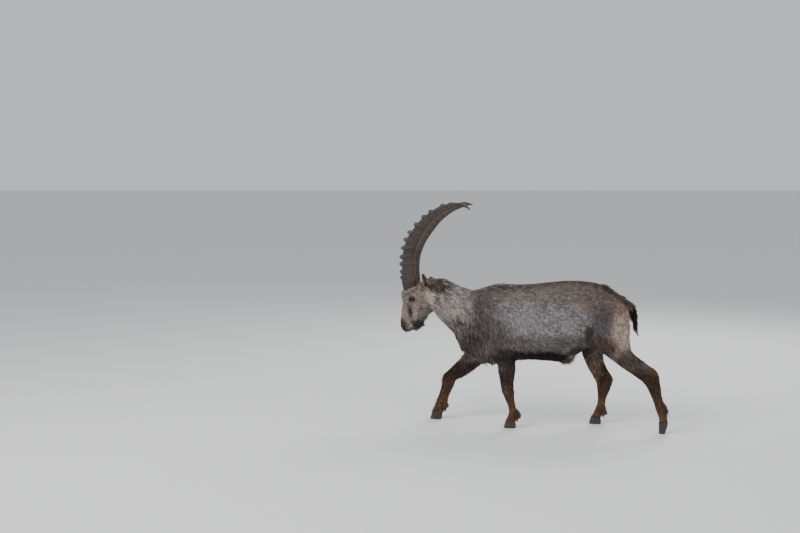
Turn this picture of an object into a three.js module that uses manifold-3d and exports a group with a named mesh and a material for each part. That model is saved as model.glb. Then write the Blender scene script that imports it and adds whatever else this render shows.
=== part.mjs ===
// A life-size adult male alpine ibex (Capra ibex), walking, as a museum shows one.
// Millimetres. +Z is up, the animal faces -X, its left side is -Y, and it stands on z = 0.
import * as THREE from "three";
import { mergeVertices } from "three/addons/utils/BufferGeometryUtils.js";
import Module from "manifold-3d";

const wasm = await Module();
wasm.setup();

// Driving sizes
const seam = 0.3; // gap between pieces that touch
const originShift = 15; // along X, from the plans' own origin to the middle of the overall box
const headTurn = 8; // degrees that the head is turned to the right, about its poll
const hornLength = 760; // along the front of a horn
const hornWear = 0.945; // how much of its length the right horn keeps, against the left one
const wornTip = 60; // over which the right horn's tip is rounded
const hornRoot = 66; // how far a horn's rows run on below its base, into the head
const knobHeight = 19;
const firstKnob = 35; // along the front of the horn, from its base
const knobGaps = [33, 49, 43, 57, 53, 52, 60, 65, 53, 78, 50];
const eyeRadius = 16;
const lidThickness = 5; // of a lid over the eyeball
const earLength = 108;
const earHalf = [22.5, 12.5]; // half the width and half the thickness of an ear, at its widest
const earWall = 3.4;
const clawLength = 74; // of a hoof, along its sole
const clawApart = 27; // between the middles of a foot's two claws
const clawNarrowing = 0.38; // how much narrower a claw is at its toe
const dewclawHalf = [10, 9, 14];
const coatSeed = 11;

// Body plan. A row is one cross-section: the front or upper point x, z, the rear or lower point x, z,
// half the width, how far its middle lies from the body's midplane, and how much narrower its front is.
const torsoPlan = {
  breast: [-446, 640, -446, 560, 24, 0, 0],
  chestFront: [-424, 742, -432, 482, 74, 0, 0.1],
  chest: [-370, 806, -382, 432, 108, 0, 0.15],
  shoulder: [-300, 840, -312, 384, 126, 0, 0.22],
  withers: [-210, 864, -212, 372, 136, 0, 0.26],
  girth: [-110, 859, -105, 396, 152, 0, 0.2],
  ribs: [0, 865, 0, 402, 172, 0, 0.14],
  belly: [110, 878, 105, 397, 181, 0, 0.08],
  sheath: [210, 886, 190, 396, 176, 0, 0.04],
  flank: [305, 882, 290, 462, 160, 0, 0.02],
  hips: [388, 868, 370, 512, 146, 0, 0.04],
  croup: [458, 822, 445, 548, 128, 0, 0.08],
  rump: [522, 784, 515, 582, 98, 0, 0.1],
  seat: [560, 744, 560, 630, 40, 0, 0],
};
const neckPlan = {
  poll: [-668, 870, -634, 716, 42, 0, 0],
  nape: [-626, 887, -606, 676, 60, 0, 0.2],
  upper: [-566, 876, -548, 618, 68, 0, 0.2],
  middle: [-492, 849, -492, 568, 80, 0, 0.22],
  lower: [-410, 823, -456, 512, 94, 0, 0.22],
  base: [-330, 826, -428, 462, 104, 0, 0.22],
  root: [-262, 842, -360, 440, 96, 0, 0.2],
};
const headPlan = {
  nape: [-638, 850, -606, 712, 42, 0, 0],
  crown: [-700, 868, -622, 692, 57, 0, 0],
  hornSeat: [-768, 846, -634, 674, 62, 0, 0],
  brow: [-812, 806, -650, 658, 65, 0, -0.06],
  eye: [-811, 768, -660, 634, 63, 0, -0.04],
  cheek: [-806, 733, -679, 614, 53, 0, 0.06],
  nasal: [-812, 695, -699, 599, 44, 0, 0.1],
  snout: [-816, 661, -719, 585, 37, 0, 0.06],
  muzzle: [-820, 628, -737, 572, 34, 0, 0],
  nostrils: [-821, 600, -757, 556, 31, 0, 0],
  lips: [-814, 573, -780, 549, 22, 0, 0],
  chin: [-803, 562, -790, 552, 8, 0, 0],
};
// A horn's rows run from its root to its tip, for the right side, and its width is nearly even.
const hornPlan = {
  root: [-780, 790, -712, 816, 27, 34],
  base: [-798, 855, -707, 867, 32, 37],
  first: [-796, 912, -711, 911, 31.5, 42],
  second: [-795, 958, -715, 961, 31, 49],
  third: [-790, 1004, -712, 1012, 30.5, 58],
  fourth: [-780, 1060, -701, 1058, 30, 70],
  fifth: [-752, 1134, -680, 1111, 28.5, 86],
  sixth: [-708, 1195, -644, 1167, 27, 99],
  seventh: [-662, 1248, -610, 1214, 25, 108],
  eighth: [-614, 1287, -576, 1249, 22.5, 114],
  ninth: [-553, 1325, -531, 1284, 20, 118],
  tenth: [-504, 1343, -494, 1304, 17, 119],
  eleventh: [-449, 1352, -442, 1323, 13.5, 118],
  twelfth: [-406, 1347, -404, 1327, 9, 115],
  point: [-375, 1331, -379, 1319, 4.5, 112],
  tip: [-355, 1309, -358, 1307, 1.2, 110],
};
const nearForePlan = {
  bladeTop: [-268, 812, -214, 806, 15, 54, 0],
  blade: [-346, 700, -190, 690, 42, 86, 0],
  shoulderPoint: [-402, 590, -178, 572, 50, 98, 0],
  arm: [-392, 508, -136, 500, 50, 102, 0],
  elbow: [-292, 444, -104, 452, 46, 102, 0],
  forearmTop: [-228, 404, -102, 412, 40, 100, 0],
  forearm: [-213, 358, -103, 358, 35, 98, 0],
  forearmLow: [-200, 304, -112, 304, 30, 96, 0],
  kneeTop: [-191, 262, -117, 262, 30, 95, 0],
  knee: [-186, 229, -113, 222, 30, 95, 0],
  cannonTop: [-172, 190, -111, 184, 23, 95, 0],
  cannon: [-151, 140, -101, 130, 19, 95, 0],
  fetlock: [-143, 101, -84, 86, 25, 95, 0],
  pastern: [-151, 71, -98, 52, 23, 95, 0],
  coronet: [-161, 50, -104, 34, 27, 95, 0],
};
const farForePlan = {
  bladeTop: [-312, 808, -258, 804, 15, 54, 0],
  blade: [-388, 700, -235, 690, 42, 86, 0],
  shoulderPoint: [-436, 590, -236, 560, 48, 96, 0],
  arm: [-444, 500, -240, 455, 47, 100, 0],
  elbow: [-430, 426, -290, 380, 44, 100, 0],
  forearmTop: [-472, 364, -365, 324, 36, 99, 0],
  forearm: [-521, 311, -425, 285, 31, 97, 0],
  kneeTop: [-553, 280, -471, 264, 30, 96, 0],
  knee: [-562, 246, -490, 236, 29, 95, 0],
  cannonTop: [-567, 209, -506, 202, 23, 95, 0],
  cannon: [-584, 156, -533, 146, 19, 95, 0],
  fetlock: [-600, 116, -541, 99, 25, 95, 0],
  pastern: [-613, 82, -562, 62, 23, 95, 0],
  coronet: [-627, 54, -572, 38, 27, 95, 0],
};
const nearHindPlan = {
  hip: [348, 812, 470, 790, 26, 72, 0],
  thighTop: [322, 716, 548, 728, 50, 96, 0],
  thigh: [326, 612, 567, 646, 60, 98, 0],
  stifle: [345, 536, 567, 566, 58, 100, 0],
  gaskinTop: [386, 480, 570, 506, 50, 104, 0],
  gaskin: [444, 434, 594, 466, 42, 106, 0],
  gaskinLow: [514, 384, 644, 430, 34, 107, 0],
  hockTop: [586, 342, 694, 394, 28, 107, 0],
  hock: [636, 308, 724, 366, 28, 107, 0],
  hockLow: [666, 268, 737, 308, 26, 107, 0],
  cannonTop: [688, 224, 745, 256, 20, 107, 0],
  cannon: [706, 180, 756, 204, 18, 107, 0],
  fetlock: [719, 136, 778, 150, 24, 107, 0],
  pastern: [734, 98, 784, 104, 22, 107, 0],
  coronet: [737, 66, 792, 70, 26, 107, 0],
};
const farHindPlan = {
  hip: [318, 808, 440, 790, 26, 72, 0],
  thighTop: [284, 706, 520, 716, 50, 96, 0],
  thigh: [262, 604, 520, 612, 58, 98, 0],
  stifle: [266, 524, 482, 538, 54, 100, 0],
  gaskinTop: [276, 462, 436, 478, 46, 103, 0],
  gaskin: [290, 412, 419, 424, 40, 105, 0],
  gaskinLow: [321, 352, 434, 352, 33, 106, 0],
  hockTop: [350, 304, 459, 310, 29, 106, 0],
  hock: [373, 264, 474, 280, 28, 106, 0],
  hockLow: [382, 224, 463, 226, 26, 106, 0],
  cannonTop: [386, 180, 446, 184, 20, 106, 0],
  cannon: [384, 130, 434, 134, 18, 106, 0],
  fetlock: [371, 92, 432, 84, 24, 106, 0],
  pastern: [360, 66, 412, 50, 22, 106, 0],
  coronet: [349, 49, 405, 33, 26, 106, 0],
};
const tailPlan = {
  root: [518, 786, 514, 750, 22, 0, 0],
  base: [553, 769, 540, 736, 21, 0, 0],
  bend: [582, 742, 564, 719, 17, 0, 0],
  middle: [596, 700, 574, 693, 14, 0, 0],
  low: [602, 655, 583, 650, 11, 0, 0],
  tip: [601, 616, 592, 614, 4, 0, 0],
};
// An ear's root and its tip. The left one is pricked, and the right one is laid out to the side.
const earPlan = {
  left: [[-641, -50, 836], [-652, -112, 928]],
  right: [[-641, 50, 830], [-668, 138, 884]],
};

// What stands out on the face, for the left and right side alike: the middle's x, distance from the midplane
// and z, the half sizes, and the turn about the side-to-side axis.
const facePlan = {
  lids: { at: [-728, 52, 761], half: [eyeRadius + 2 * lidThickness, 21, 21], turn: -0.1 },
  brow: { at: [-736, 50, 781], half: [36, 16, 10], turn: 0.1 },
  hornSeat: { at: [-742, 42, 814], half: [54, 38, 22], turn: -0.42 },
  cheek: { at: [-698, 33, 684], half: [34, 22, 46], turn: -0.5 },
  nostrilWing: { at: [-804, 17, 596], half: [15, 13, 20], turn: -0.15 },
  lowerLip: { at: [-768, 13, 572], half: [24, 14, 17], turn: -0.4 },
};
const eyeOpening = { at: [-729, 71, 761], half: [19, 14, 11.5], turn: -0.1 };
const nostril = { at: [-820, 17, 599], half: [7, 8, 11], turn: -0.4 };
const mouth = { middle: [-784, 0, 589], length: 74, height: 2, depth: 8, turn: -0.45 };
// Under the belly and between the thighs.
const groinPlan = {
  sheath: { at: [172, 0, 406], half: [52, 17, 17], turn: 0.05 },
  scrotum: { at: [362, 0, 492], half: [25, 28, 42], turn: 0.2 },
};

// One seeded stream of numbers from 0 to 1, so that the hair is the same in every build.
function randomStream(seed) {
  let state = seed;
  return () => {
    state = (state * 1664525 + 1013904223) % 4294967296;
    return state / 4294967296;
  };
}
const random = randomStream(coatSeed);
const between = (low, high) => low + (high - low) * random();
const power = (value, exponent) =>
  Math.sign(value) * Math.abs(value) ** exponent;

// The head, its ears, eyes and horns are drawn facing straight ahead, then turned about the poll.
const poll = new THREE.Vector3(-650, 0, 0);
const headPose = new THREE.Matrix4()
  .makeTranslation(poll)
  .multiply(new THREE.Matrix4().makeRotationZ(-THREE.MathUtils.degToRad(headTurn)))
  .multiply(new THREE.Matrix4().makeTranslation(poll.clone().negate()));

// A closed three.js geometry as a manifold-3d solid that faces outwards, put in its pose.
function solidOf(geometry, pose) {
  const bare = geometry.clone();
  if (pose) bare.applyMatrix4(pose);
  for (const name of Object.keys(bare.attributes))
    if (name !== "position") bare.deleteAttribute(name);
  const merged = mergeVertices(bare, 1e-4);
  const triVerts = new Uint32Array(merged.index.array);
  const make = () =>
    new wasm.Manifold(
      new wasm.Mesh({
        numProp: 3,
        vertProperties: merged.attributes.position.array,
        triVerts,
      }),
    );
  const solid = make();
  if (solid.volume() > 0) return solid;
  for (let i = 0; i < triVerts.length; i += 3)
    [triVerts[i + 1], triVerts[i + 2]] = [triVerts[i + 2], triVerts[i + 1]];
  return make();
}

// The largest closed surface of a solid, as one node keeps.
function largest(solid) {
  return solid.decompose().sort((a, b) => b.volume() - a.volume())[0];
}

const join = (solids) => solids.reduce((all, one) => all.add(one));
const cutBy = (solid, cutters) =>
  cutters.reduce((left, one) => left.subtract(one), solid);

// Rings of equally many points, skinned into one closed solid with a point in the middle of each end.
function skinRings(rings, pose) {
  const sides = rings[0].length;
  const middle = (ring) =>
    ring
      .reduce((sum, p) => sum.add(p), new THREE.Vector3())
      .divideScalar(ring.length);
  const points = [
    ...rings.flat(),
    middle(rings[0]),
    middle(rings[rings.length - 1]),
  ];
  const [firstCap, lastCap] = [points.length - 2, points.length - 1];
  const index = [];
  for (let i = 0; i + 1 < rings.length; i++)
    for (let j = 0; j < sides; j++) {
      const [a, b] = [i * sides + j, i * sides + ((j + 1) % sides)];
      const [c, d] = [a + sides, b + sides];
      index.push(a, b, d, a, d, c);
    }
  const last = (rings.length - 1) * sides;
  for (let j = 0; j < sides; j++) {
    const k = (j + 1) % sides;
    index.push(firstCap, k, j, lastCap, last + j, last + k);
  }
  const geometry = new THREE.BufferGeometry().setFromPoints(points);
  geometry.setIndex(index);
  return solidOf(geometry, pose);
}

// A limb is a smooth skin through the cross-sections of a plan. side is -1 for the left of the body.
class Limb {
  constructor(plan, { side = 1, sides = 14, rings = 24, square = 2, pose } = {}) {
    const rows = Object.values(plan);
    const curve = (point) =>
      new THREE.CatmullRomCurve3(
        rows.map((row) => new THREE.Vector3(...point(row))),
        false,
        "catmullrom",
        0.5,
      );
    this.front = curve(([x, z, , , , y]) => [x, side * y, z]);
    this.rear = curve(([, , x, z, , y]) => [x, side * y, z]);
    this.form = curve((row) => [row[4], row[6] ?? 0, 0]);
    Object.assign(this, { sides, rings, exponent: 2 / square, pose });
  }
  // The point of the skin at t along the limb and an angle round it, 0 at its front or top, grown outwards.
  at(t, angle, grow = 0) {
    const [front, rear] = [this.front.getPoint(t), this.rear.getPoint(t)];
    const form = this.form.getPoint(t);
    const half = front.clone().sub(rear).multiplyScalar(0.5);
    const reach = half.length();
    const [c, s] = [Math.cos(angle), Math.sin(angle)];
    const point = front.add(rear).multiplyScalar(0.5);
    point.addScaledVector(
      half,
      (power(c, this.exponent) * (reach + grow)) / reach,
    );
    point.y +=
      (form.x * (1 - form.y * c) + grow) * power(s, this.exponent);
    return point;
  }
  // The way along the limb, and the outward normal, at a point of its skin.
  frame(t, angle) {
    const step = 0.004;
    const along = this.at(Math.min(1, t + step), angle).sub(
      this.at(Math.max(0, t - step), angle),
    );
    const round = this.at(t, angle + step).sub(this.at(t, angle - step));
    const out = new THREE.Vector3().crossVectors(along, round).normalize();
    const middle = this.front.getPoint(t).add(this.rear.getPoint(t));
    if (
      out.dot(this.at(t, angle).sub(middle.multiplyScalar(0.5))) < 0
    )
      out.negate();
    return { along: along.normalize(), out };
  }
  // The whole limb as a solid, grown by the seam's width where it is to cut its neighbour.
  solid(grow = 0) {
    const rings = [];
    for (let i = 0; i <= this.rings; i++) {
      const ring = [];
      for (let j = 0; j < this.sides; j++)
        ring.push(this.at(i / this.rings, (2 * Math.PI * j) / this.sides, grow));
      rings.push(ring);
    }
    if (grow) {
      rings[0] = this.slide(rings[0], rings[1], -grow);
      const n = rings.length;
      rings[n - 1] = this.slide(rings[n - 1], rings[n - 2], -grow);
    }
    return skinRings(rings, this.pose);
  }
  // A ring moved away from its neighbour, so that a grown limb's ends are grown too.
  slide(ring, neighbour, amount) {
    const sum = new THREE.Vector3();
    ring.forEach((p, j) => sum.add(neighbour[j]).sub(p));
    sum.normalize();
    return ring.map((p) => p.clone().addScaledVector(sum, amount));
  }
}

// A flat, tapered lock of hair: its root is sunk below the skin, and it bends as it runs to its tip.
function lock({ root, lie, out, length, width, thick, lift, sink = 8, pose }) {
  const side = new THREE.Vector3().crossVectors(lie, out).normalize();
  const shares = [0, 0.4, 0.9];
  const rings = shares.map((u) => {
    const middle = root
      .clone()
      .addScaledVector(lie, length * u)
      .addScaledVector(out, lift * u - sink * (1 - u) ** 3);
    const [w, h] = [
      (width / 2) * (1 - 0.86 * u ** 1.6),
      (thick / 2) * (1 - 0.8 * u),
    ];
    return [
      middle.clone().addScaledVector(side, w),
      middle.clone().addScaledVector(out, h),
      middle.clone().addScaledVector(side, -w),
      middle.clone().addScaledVector(out, -h),
    ];
  });
  return skinRings(rings, pose);
}

// Locks in rows over a part of a limb, each turned and sized a little differently.
function locksOn(limb, { from, to, rows, angle, spread, across, ...hair }) {
  const made = [];
  for (let i = 0; i < rows; i++)
    for (let j = 0; j < across; j++) {
      const t = from + ((to - from) * (i + between(0.2, 0.8))) / rows;
      const share = across > 1 ? (j + (i % 2) * 0.5) / (across - 0.5) - 0.5 : 0;
      const a = angle + spread * share + between(-0.04, 0.04);
      const { along, out } = limb.frame(t, a);
      const lie = along.multiplyScalar(hair.way ?? 1);
      if (hair.drop) lie.add(new THREE.Vector3(0, 0, -hair.drop)).normalize();
      lie.addScaledVector(out, -lie.dot(out) * (hair.hug ?? 1)).normalize();
      const side = new THREE.Vector3().crossVectors(lie, out);
      lie.addScaledVector(side, between(-0.22, 0.22)).normalize();
      const size = between(0.78, 1.12);
      made.push(
        lock({
          root: limb.at(t, a),
          lie,
          out,
          length: hair.length * size,
          width: hair.width * size,
          thick: hair.thick,
          lift: hair.lift * between(0.7, 1.2) * (1 - (hair.fade ?? 0) * (i / rows)),
          sink: hair.sink,
          pose: limb.pose,
        }),
      );
    }
  return made;
}

// An ellipsoid placed by its middle and its half sizes, turned about the Y axis.
function ball([x, y, z], [a, b, c], { turn = 0, detail = [10, 7], pose } = {}) {
  const geometry = new THREE.SphereGeometry(1, ...detail);
  geometry.scale(a, b, c);
  geometry.rotateY(turn);
  geometry.translate(x, y, z);
  return solidOf(geometry, pose);
}

// The rings along a horn, each at a distance along its front, and how far its knob has risen there.
function hornStations() {
  const knobs = [firstKnob];
  for (const gap of knobGaps) knobs.push(knobs[knobs.length - 1] + gap);
  const stations = [];
  for (const s of [-hornRoot, 0]) stations.push({ s, rise: 0 });
  knobs.forEach((s, k) => {
    const gap = knobGaps[Math.min(k, knobGaps.length - 1)];
    const tall = Math.min(1, 0.55 + 0.15 * k) * (k < 7 ? 1 : 1 - 0.15 * (k - 6));
    stations.push({ s: s - 9, rise: 0.2 * tall });
    stations.push({ s: s - 2, rise: tall });
    stations.push({ s: s + 6, rise: 0.9 * tall });
    stations.push({ s: s + 13, rise: 0.12 * tall });
    if (gap > 44) stations.push({ s: s + gap * 0.56, rise: 0 });
  });
  const last = knobs[knobs.length - 1];
  for (const u of [0.2, 0.4, 0.6, 0.8, 1])
    stations.push({ s: last + (hornLength - last) * u, rise: 0 });
  return stations;
}

// A horn: broad and flat in front, with a raised knob at each station, and rounder behind.
function hornSolid(side, grow = 0) {
  const horn = new Limb(hornPlan, { side });
  const sides = 11;
  const length = horn.front.getLength();
  const worn = side > 0 ? hornWear : 1;
  const rings = hornStations().map(({ s, rise }) => {
    const share = (s + hornRoot) / (hornLength + hornRoot);
    const t = horn.front.getUtoTmapping(share * worn, share * worn * length);
    const [front, rear] = [horn.front.getPoint(t), horn.rear.getPoint(t)];
    const half = front.clone().sub(rear).multiplyScalar(0.5);
    const ahead = half.clone().normalize();
    const blunt = side > 0 ? Math.min(1, 0.1 + (hornLength - s) / wornTip) : 1;
    const [deep, wide] = [half.length() * blunt, horn.form.getPoint(t).x * blunt];
    const centre = front.add(rear).multiplyScalar(0.5);
    const ring = [];
    for (let j = 0; j < sides; j++) {
      const angle = (2 * Math.PI * (j + 0.5)) / sides;
      const [c, q] = [Math.cos(angle), Math.sin(angle)];
      const knob = knobHeight * rise * THREE.MathUtils.smoothstep(c, 0.1, 0.7);
      const reach = deep * power(c, c > 0 ? 0.5 : 0.95) + knob + grow * c;
      const across = wide * power(q, 0.8) * (1 + 0.12 * c) * (1 + 0.1 * rise);
      const point = centre.clone().addScaledVector(ahead, reach);
      ring.push(point.add(new THREE.Vector3(0, across + grow * q, 0)));
    }
    return ring;
  });
  return skinRings(rings, headPose);
}

// An ear: a leaf that leans out from the head, hollowed to a cup that opens outwards and a little forward.
function earSolid(word, side) {
  const [base, tip] = earPlan[word].map((point) => new THREE.Vector3(...point));
  const axis = tip.clone().sub(base).normalize();
  const open = new THREE.Vector3(-0.42, side * 0.86, -0.3);
  open.addScaledVector(axis, -open.dot(axis)).normalize();
  const wide = new THREE.Vector3().crossVectors(axis, open).normalize();
  const leaf = (inset, shift, first, last) => {
    const rings = [];
    const [count, sides] = [8, 12];
    for (let i = 0; i <= count; i++) {
      const u = first + ((last - first) * i) / count;
      const swell = Math.sin(Math.PI * Math.min(1, 0.16 + 0.84 * u)) ** 0.75;
      const half = Math.max(0.9, earHalf[0] * swell - inset);
      const deep = Math.max(0.8, earHalf[1] * swell - inset * 0.6);
      const centre = base
        .clone()
        .addScaledVector(axis, earLength * u)
        .addScaledVector(open, shift);
      const ring = [];
      for (let j = 0; j < sides; j++) {
        const a = (2 * Math.PI * j) / sides;
        ring.push(
          centre
            .clone()
            .addScaledVector(wide, half * Math.cos(a))
            .addScaledVector(open, deep * Math.sin(a)),
        );
      }
      rings.push(ring);
    }
    return skinRings(rings, headPose);
  };
  const cup = leaf(earWall, 0.6 * earHalf[1], 0.2, 0.93);
  return leaf(0, 0, -0.1, 0.985).subtract(cup);
}

// The two claws of a hoof, from just under the coronet to a flat sole on the floor.
function claws(plan, side, sole, detail = 10) {
  const [fx, fz, rx, rz, half, y] = plan.coronet;
  const [toe, heel] = sole;
  const drop = seam / Math.cos(Math.atan2(fz - rz, rx - fx));
  const bulb = (heel + Math.max(heel, rx)) / 2 + 2;
  const rows = [
    { front: [fx, fz - drop], rear: [rx, rz - drop], wider: -0.7 },
    { front: [toe + (fx - toe) * 0.45, fz / 2], rear: [bulb, rz / 2], wider: 0.4 },
    { front: [toe, 5], rear: [heel, 4], wider: 0.8 },
    { front: [toe + 3, 0], rear: [heel - 2, 0], wider: -0.4 },
  ];
  return [-1, 1].map((which) => {
    const rings = rows.map(({ front, rear, wider }, i) => {
      const ring = [];
      const w = half / 2 + wider;
      const middle = side * y + which * (clawApart / 2 + (i ? seam : 0));
      for (let j = 0; j < detail; j++) {
        const a = (2 * Math.PI * j) / detail;
        const u = (1 + Math.cos(a)) / 2; // 1 at the toe
        const narrow = 1 - clawNarrowing * u ** 3 * (i ? 1 : 0.2);
        ring.push(
          new THREE.Vector3(
            rear[0] + (front[0] - rear[0]) * u,
            middle + w * narrow * Math.sin(a) - which * (1 - narrow) * w * 0.6,
            rear[1] + (front[1] - rear[1]) * u,
          ),
        );
      }
      return ring;
    });
    return skinRings(rings);
  });
}

// The two dewclaws behind a fetlock, small blunt cones that point down.
function dewclaws(plan, side) {
  const [, , x, z, , y] = plan.fetlock;
  return [-1, 1].map((which) => {
    const at = [x + 5, side * y + (which * clawApart) / 2, z - 12];
    return ball(at, dewclawHalf, { turn: -0.35, detail: [7, 5] });
  });
}

// Limbs
const torso = new Limb(torsoPlan, { sides: 20, rings: 27, square: 2.15 });
const neck = new Limb(neckPlan, { sides: 16, rings: 12, square: 2.1 });
const head = new Limb(headPlan, { sides: 18, rings: 22, square: 2.3, pose: headPose });
const tail = new Limb(tailPlan, { sides: 8, rings: 10 });
const legShape = { sides: 12, rings: 25, square: 2.1 };
const legs = {
  foreleg_left: new Limb(nearForePlan, { ...legShape, side: -1 }),
  foreleg_right: new Limb(farForePlan, { ...legShape, side: 1 }),
  hindleg_left: new Limb(nearHindPlan, { ...legShape, side: -1 }),
  hindleg_right: new Limb(farHindPlan, { ...legShape, side: 1 }),
};

// The head: brows, lids, cheeks and lips added, and the mouth, nostrils and eye openings cut.
const mirrored = ({ at, half, turn = 0 }, side, detail, grow = 0) => {
  const [x, y, z] = at;
  const halves = half.map((v) => v + grow);
  return ball([x, side * y, z], halves, { turn, detail, pose: headPose });
};
function eyeSolid(side, grow = 0) {
  const eye = { at: facePlan.lids.at, half: [eyeRadius, eyeRadius, eyeRadius] };
  return mirrored(eye, side, [12, 8], grow);
}
function headForms(grow = 0) {
  const forms = Object.values(facePlan);
  const balls = [-1, 1].flatMap((side) => forms.map((form) => mirrored(form, side, [9, 6], grow)));
  return join([head.solid(grow), ...balls]);
}
function headSolid() {
  const cut = [-1, 1].flatMap((side) => [
    mirrored(eyeOpening, side, [12, 8]),
    eyeSolid(side, seam),
    mirrored(nostril, side, [8, 6]),
  ]);
  return largest(cutBy(join([headForms(), ...beard()]), [...cut, mouthLine()]));
}

// The line of the mouth: a narrow groove from the front of the lips back to each corner.
function mouthLine() {
  const blade = new THREE.BoxGeometry(mouth.length, 100, mouth.height);
  blade.rotateY(mouth.turn);
  blade.translate(...mouth.middle);
  const inner = new Limb(headPlan, { sides: 12, rings: 22, square: 2.3, pose: headPose });
  return solidOf(blade, headPose).subtract(inner.solid(-mouth.depth));
}

// The short summer beard, which lies back from the chin.
function beard() {
  return locksOn(head, {
    from: 0.5, to: 0.74, rows: 4, angle: Math.PI, spread: 1.3, across: 3,
    way: -1, drop: 1.2, hug: 0.75, length: 32, width: 24, thick: 11, lift: 5, sink: 9,
  });
}

// The ragged, longer hair of the nape, and of the breast and brisket.
const napeLocks = () => [
  ...locksOn(neck, {
    from: 0.18, to: 0.6, rows: 7, angle: 0, spread: 1.5, across: 4,
    length: 78, width: 34, thick: 13, lift: 13, fade: 0.4, sink: 12,
  }),
];
const breastLocks = () => [
  ...locksOn(torso, {
    from: 0.06, to: 0.17, rows: 3, angle: Math.PI, spread: 1.5, across: 4,
    drop: 1.6, length: 62, width: 26, thick: 10, lift: 14, sink: 10,
  }),
  ...locksOn(torso, {
    from: 0.19, to: 0.33, rows: 3, angle: Math.PI, spread: 1.1, across: 3,
    length: 56, width: 26, thick: 9, lift: 9, sink: 10,
  }),
];
const tailLocks = () =>
  locksOn(tail, {
    from: 0.36, to: 0.94, rows: 4, angle: 0, spread: 5.2, across: 3,
    length: 56, width: 22, thick: 9, lift: 6, sink: 7,
  });

function torsoForms() {
  const forms = Object.values(groinPlan);
  return join([torso.solid(), ...forms.map(({ at, half, turn }) => ball(at, half, { turn }))]);
}

// Nodes
const finishes = {
  coat: { color: 0x6b5d54, roughness: 0.95 },
  dark: { color: 0x2c2521, roughness: 0.95 },
  horn: { color: 0x54473a, roughness: 0.6 },
  hoof: { color: 0x2b2724, roughness: 0.5 },
  eye: { color: 0x2a1c10, roughness: 0.15 },
};
const ibex = new THREE.Group();
function node(name, solid, finish) {
  const { vertProperties, triVerts } = solid.getMesh();
  const geometry = new THREE.BufferGeometry();
  geometry.setAttribute("position", new THREE.BufferAttribute(vertProperties, 3));
  geometry.setIndex(new THREE.BufferAttribute(triVerts, 1));
  geometry.translate(originShift, 0, 0);
  geometry.computeVertexNormals();
  const material = new THREE.MeshStandardMaterial({ ...finishes[finish], metalness: 0 });
  const mesh = new THREE.Mesh(geometry, material);
  mesh.name = name;
  ibex.add(mesh);
}

// What the pieces are cut by, each a little larger than the piece itself.
const neckGrown = neck.solid(2 * seam);
const torsoGrown = torso.solid(seam);
const headGrown = headForms(2 * seam);
const legsGrown = Object.values(legs).map((leg) => leg.solid(seam));
const breast = cutBy(join(breastLocks()), [neckGrown]);

const nape = join([neck.solid(), ...napeLocks()]);
const tailHair = join([tail.solid(), ...tailLocks()]);

node("torso", largest(cutBy(join([torsoForms(), breast]), legsGrown)), "coat");
node("neck", largest(cutBy(nape, [torsoGrown, headGrown, ...legsGrown])), "coat");
node("head", headSolid(), "coat");
node("tail", largest(cutBy(tailHair, [torsoGrown, ...legsGrown])), "dark");
for (const [name, leg] of Object.entries(legs)) node(name, leg.solid(), "coat");

for (const [word, side] of [["left", -1], ["right", 1]]) {
  const ear = cutBy(earSolid(word, side), [headGrown, hornSolid(side, seam), neckGrown]);
  node("ear_" + word, largest(ear), "coat");
  node("horn_" + word, largest(cutBy(hornSolid(side), [headGrown])), "horn");
  node("eye_" + word, eyeSolid(side), "eye");
}

const feet = {
  fore_left: [nearForePlan, -1, [-174, -174 + clawLength]],
  fore_right: [farForePlan, 1, [-644, -644 + clawLength]],
  hind_left: [nearHindPlan, -1, [738, 774]],
  hind_right: [farHindPlan, 1, [334, 334 + clawLength]],
};
for (const [name, [plan, side, sole]] of Object.entries(feet)) {
  claws(plan, side, sole).forEach((claw, i) => node(`hoof_${name}_${i + 1}`, claw, "hoof"));
  const leg = legs[name.replace(/(\w+)_(\w+)/, "$1leg_$2")].solid(seam);
  dewclaws(plan, side).forEach((dew, i) =>
    node(`dewclaw_${name}_${i + 1}`, largest(dew.subtract(leg)), "hoof"),
  );
}

export default ibex;
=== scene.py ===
import math
import bpy
import numpy as np
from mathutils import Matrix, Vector
from mathutils.bvhtree import BVHTree


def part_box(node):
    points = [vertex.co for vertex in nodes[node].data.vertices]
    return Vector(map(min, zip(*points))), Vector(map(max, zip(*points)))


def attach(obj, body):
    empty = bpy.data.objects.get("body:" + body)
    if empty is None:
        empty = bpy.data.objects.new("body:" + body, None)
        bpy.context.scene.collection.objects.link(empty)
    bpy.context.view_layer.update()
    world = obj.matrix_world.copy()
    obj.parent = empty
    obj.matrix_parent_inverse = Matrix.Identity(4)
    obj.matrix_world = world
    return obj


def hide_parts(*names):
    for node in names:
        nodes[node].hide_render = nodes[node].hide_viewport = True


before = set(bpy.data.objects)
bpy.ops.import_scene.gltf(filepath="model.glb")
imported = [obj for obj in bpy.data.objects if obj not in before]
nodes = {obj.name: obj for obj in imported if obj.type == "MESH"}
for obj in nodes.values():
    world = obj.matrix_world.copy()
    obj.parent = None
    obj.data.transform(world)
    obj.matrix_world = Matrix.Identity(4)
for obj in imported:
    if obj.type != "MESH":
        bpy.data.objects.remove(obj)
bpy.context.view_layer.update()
print("frame loaded")

legWords = ["fore_left", "fore_right", "hind_left", "hind_right"]
fleshNodes = ["torso", "neck", "head", "tail", *(word.replace("_", "leg_") for word in legWords)]
sides = {"left": -1, "right": 1}


# Small helpers
def selectOnly(*objects):
    if bpy.context.object and bpy.context.object.mode != "OBJECT":
        bpy.ops.object.mode_set(mode="OBJECT")
    bpy.ops.object.select_all(action="DESELECT")
    for one in objects:
        one.select_set(True)
    bpy.context.view_layer.objects.active = objects[0]


def editMesh(piece, action="SELECT"):
    selectOnly(piece)
    bpy.ops.object.mode_set(mode="EDIT")
    bpy.ops.mesh.select_all(action=action)


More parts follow.
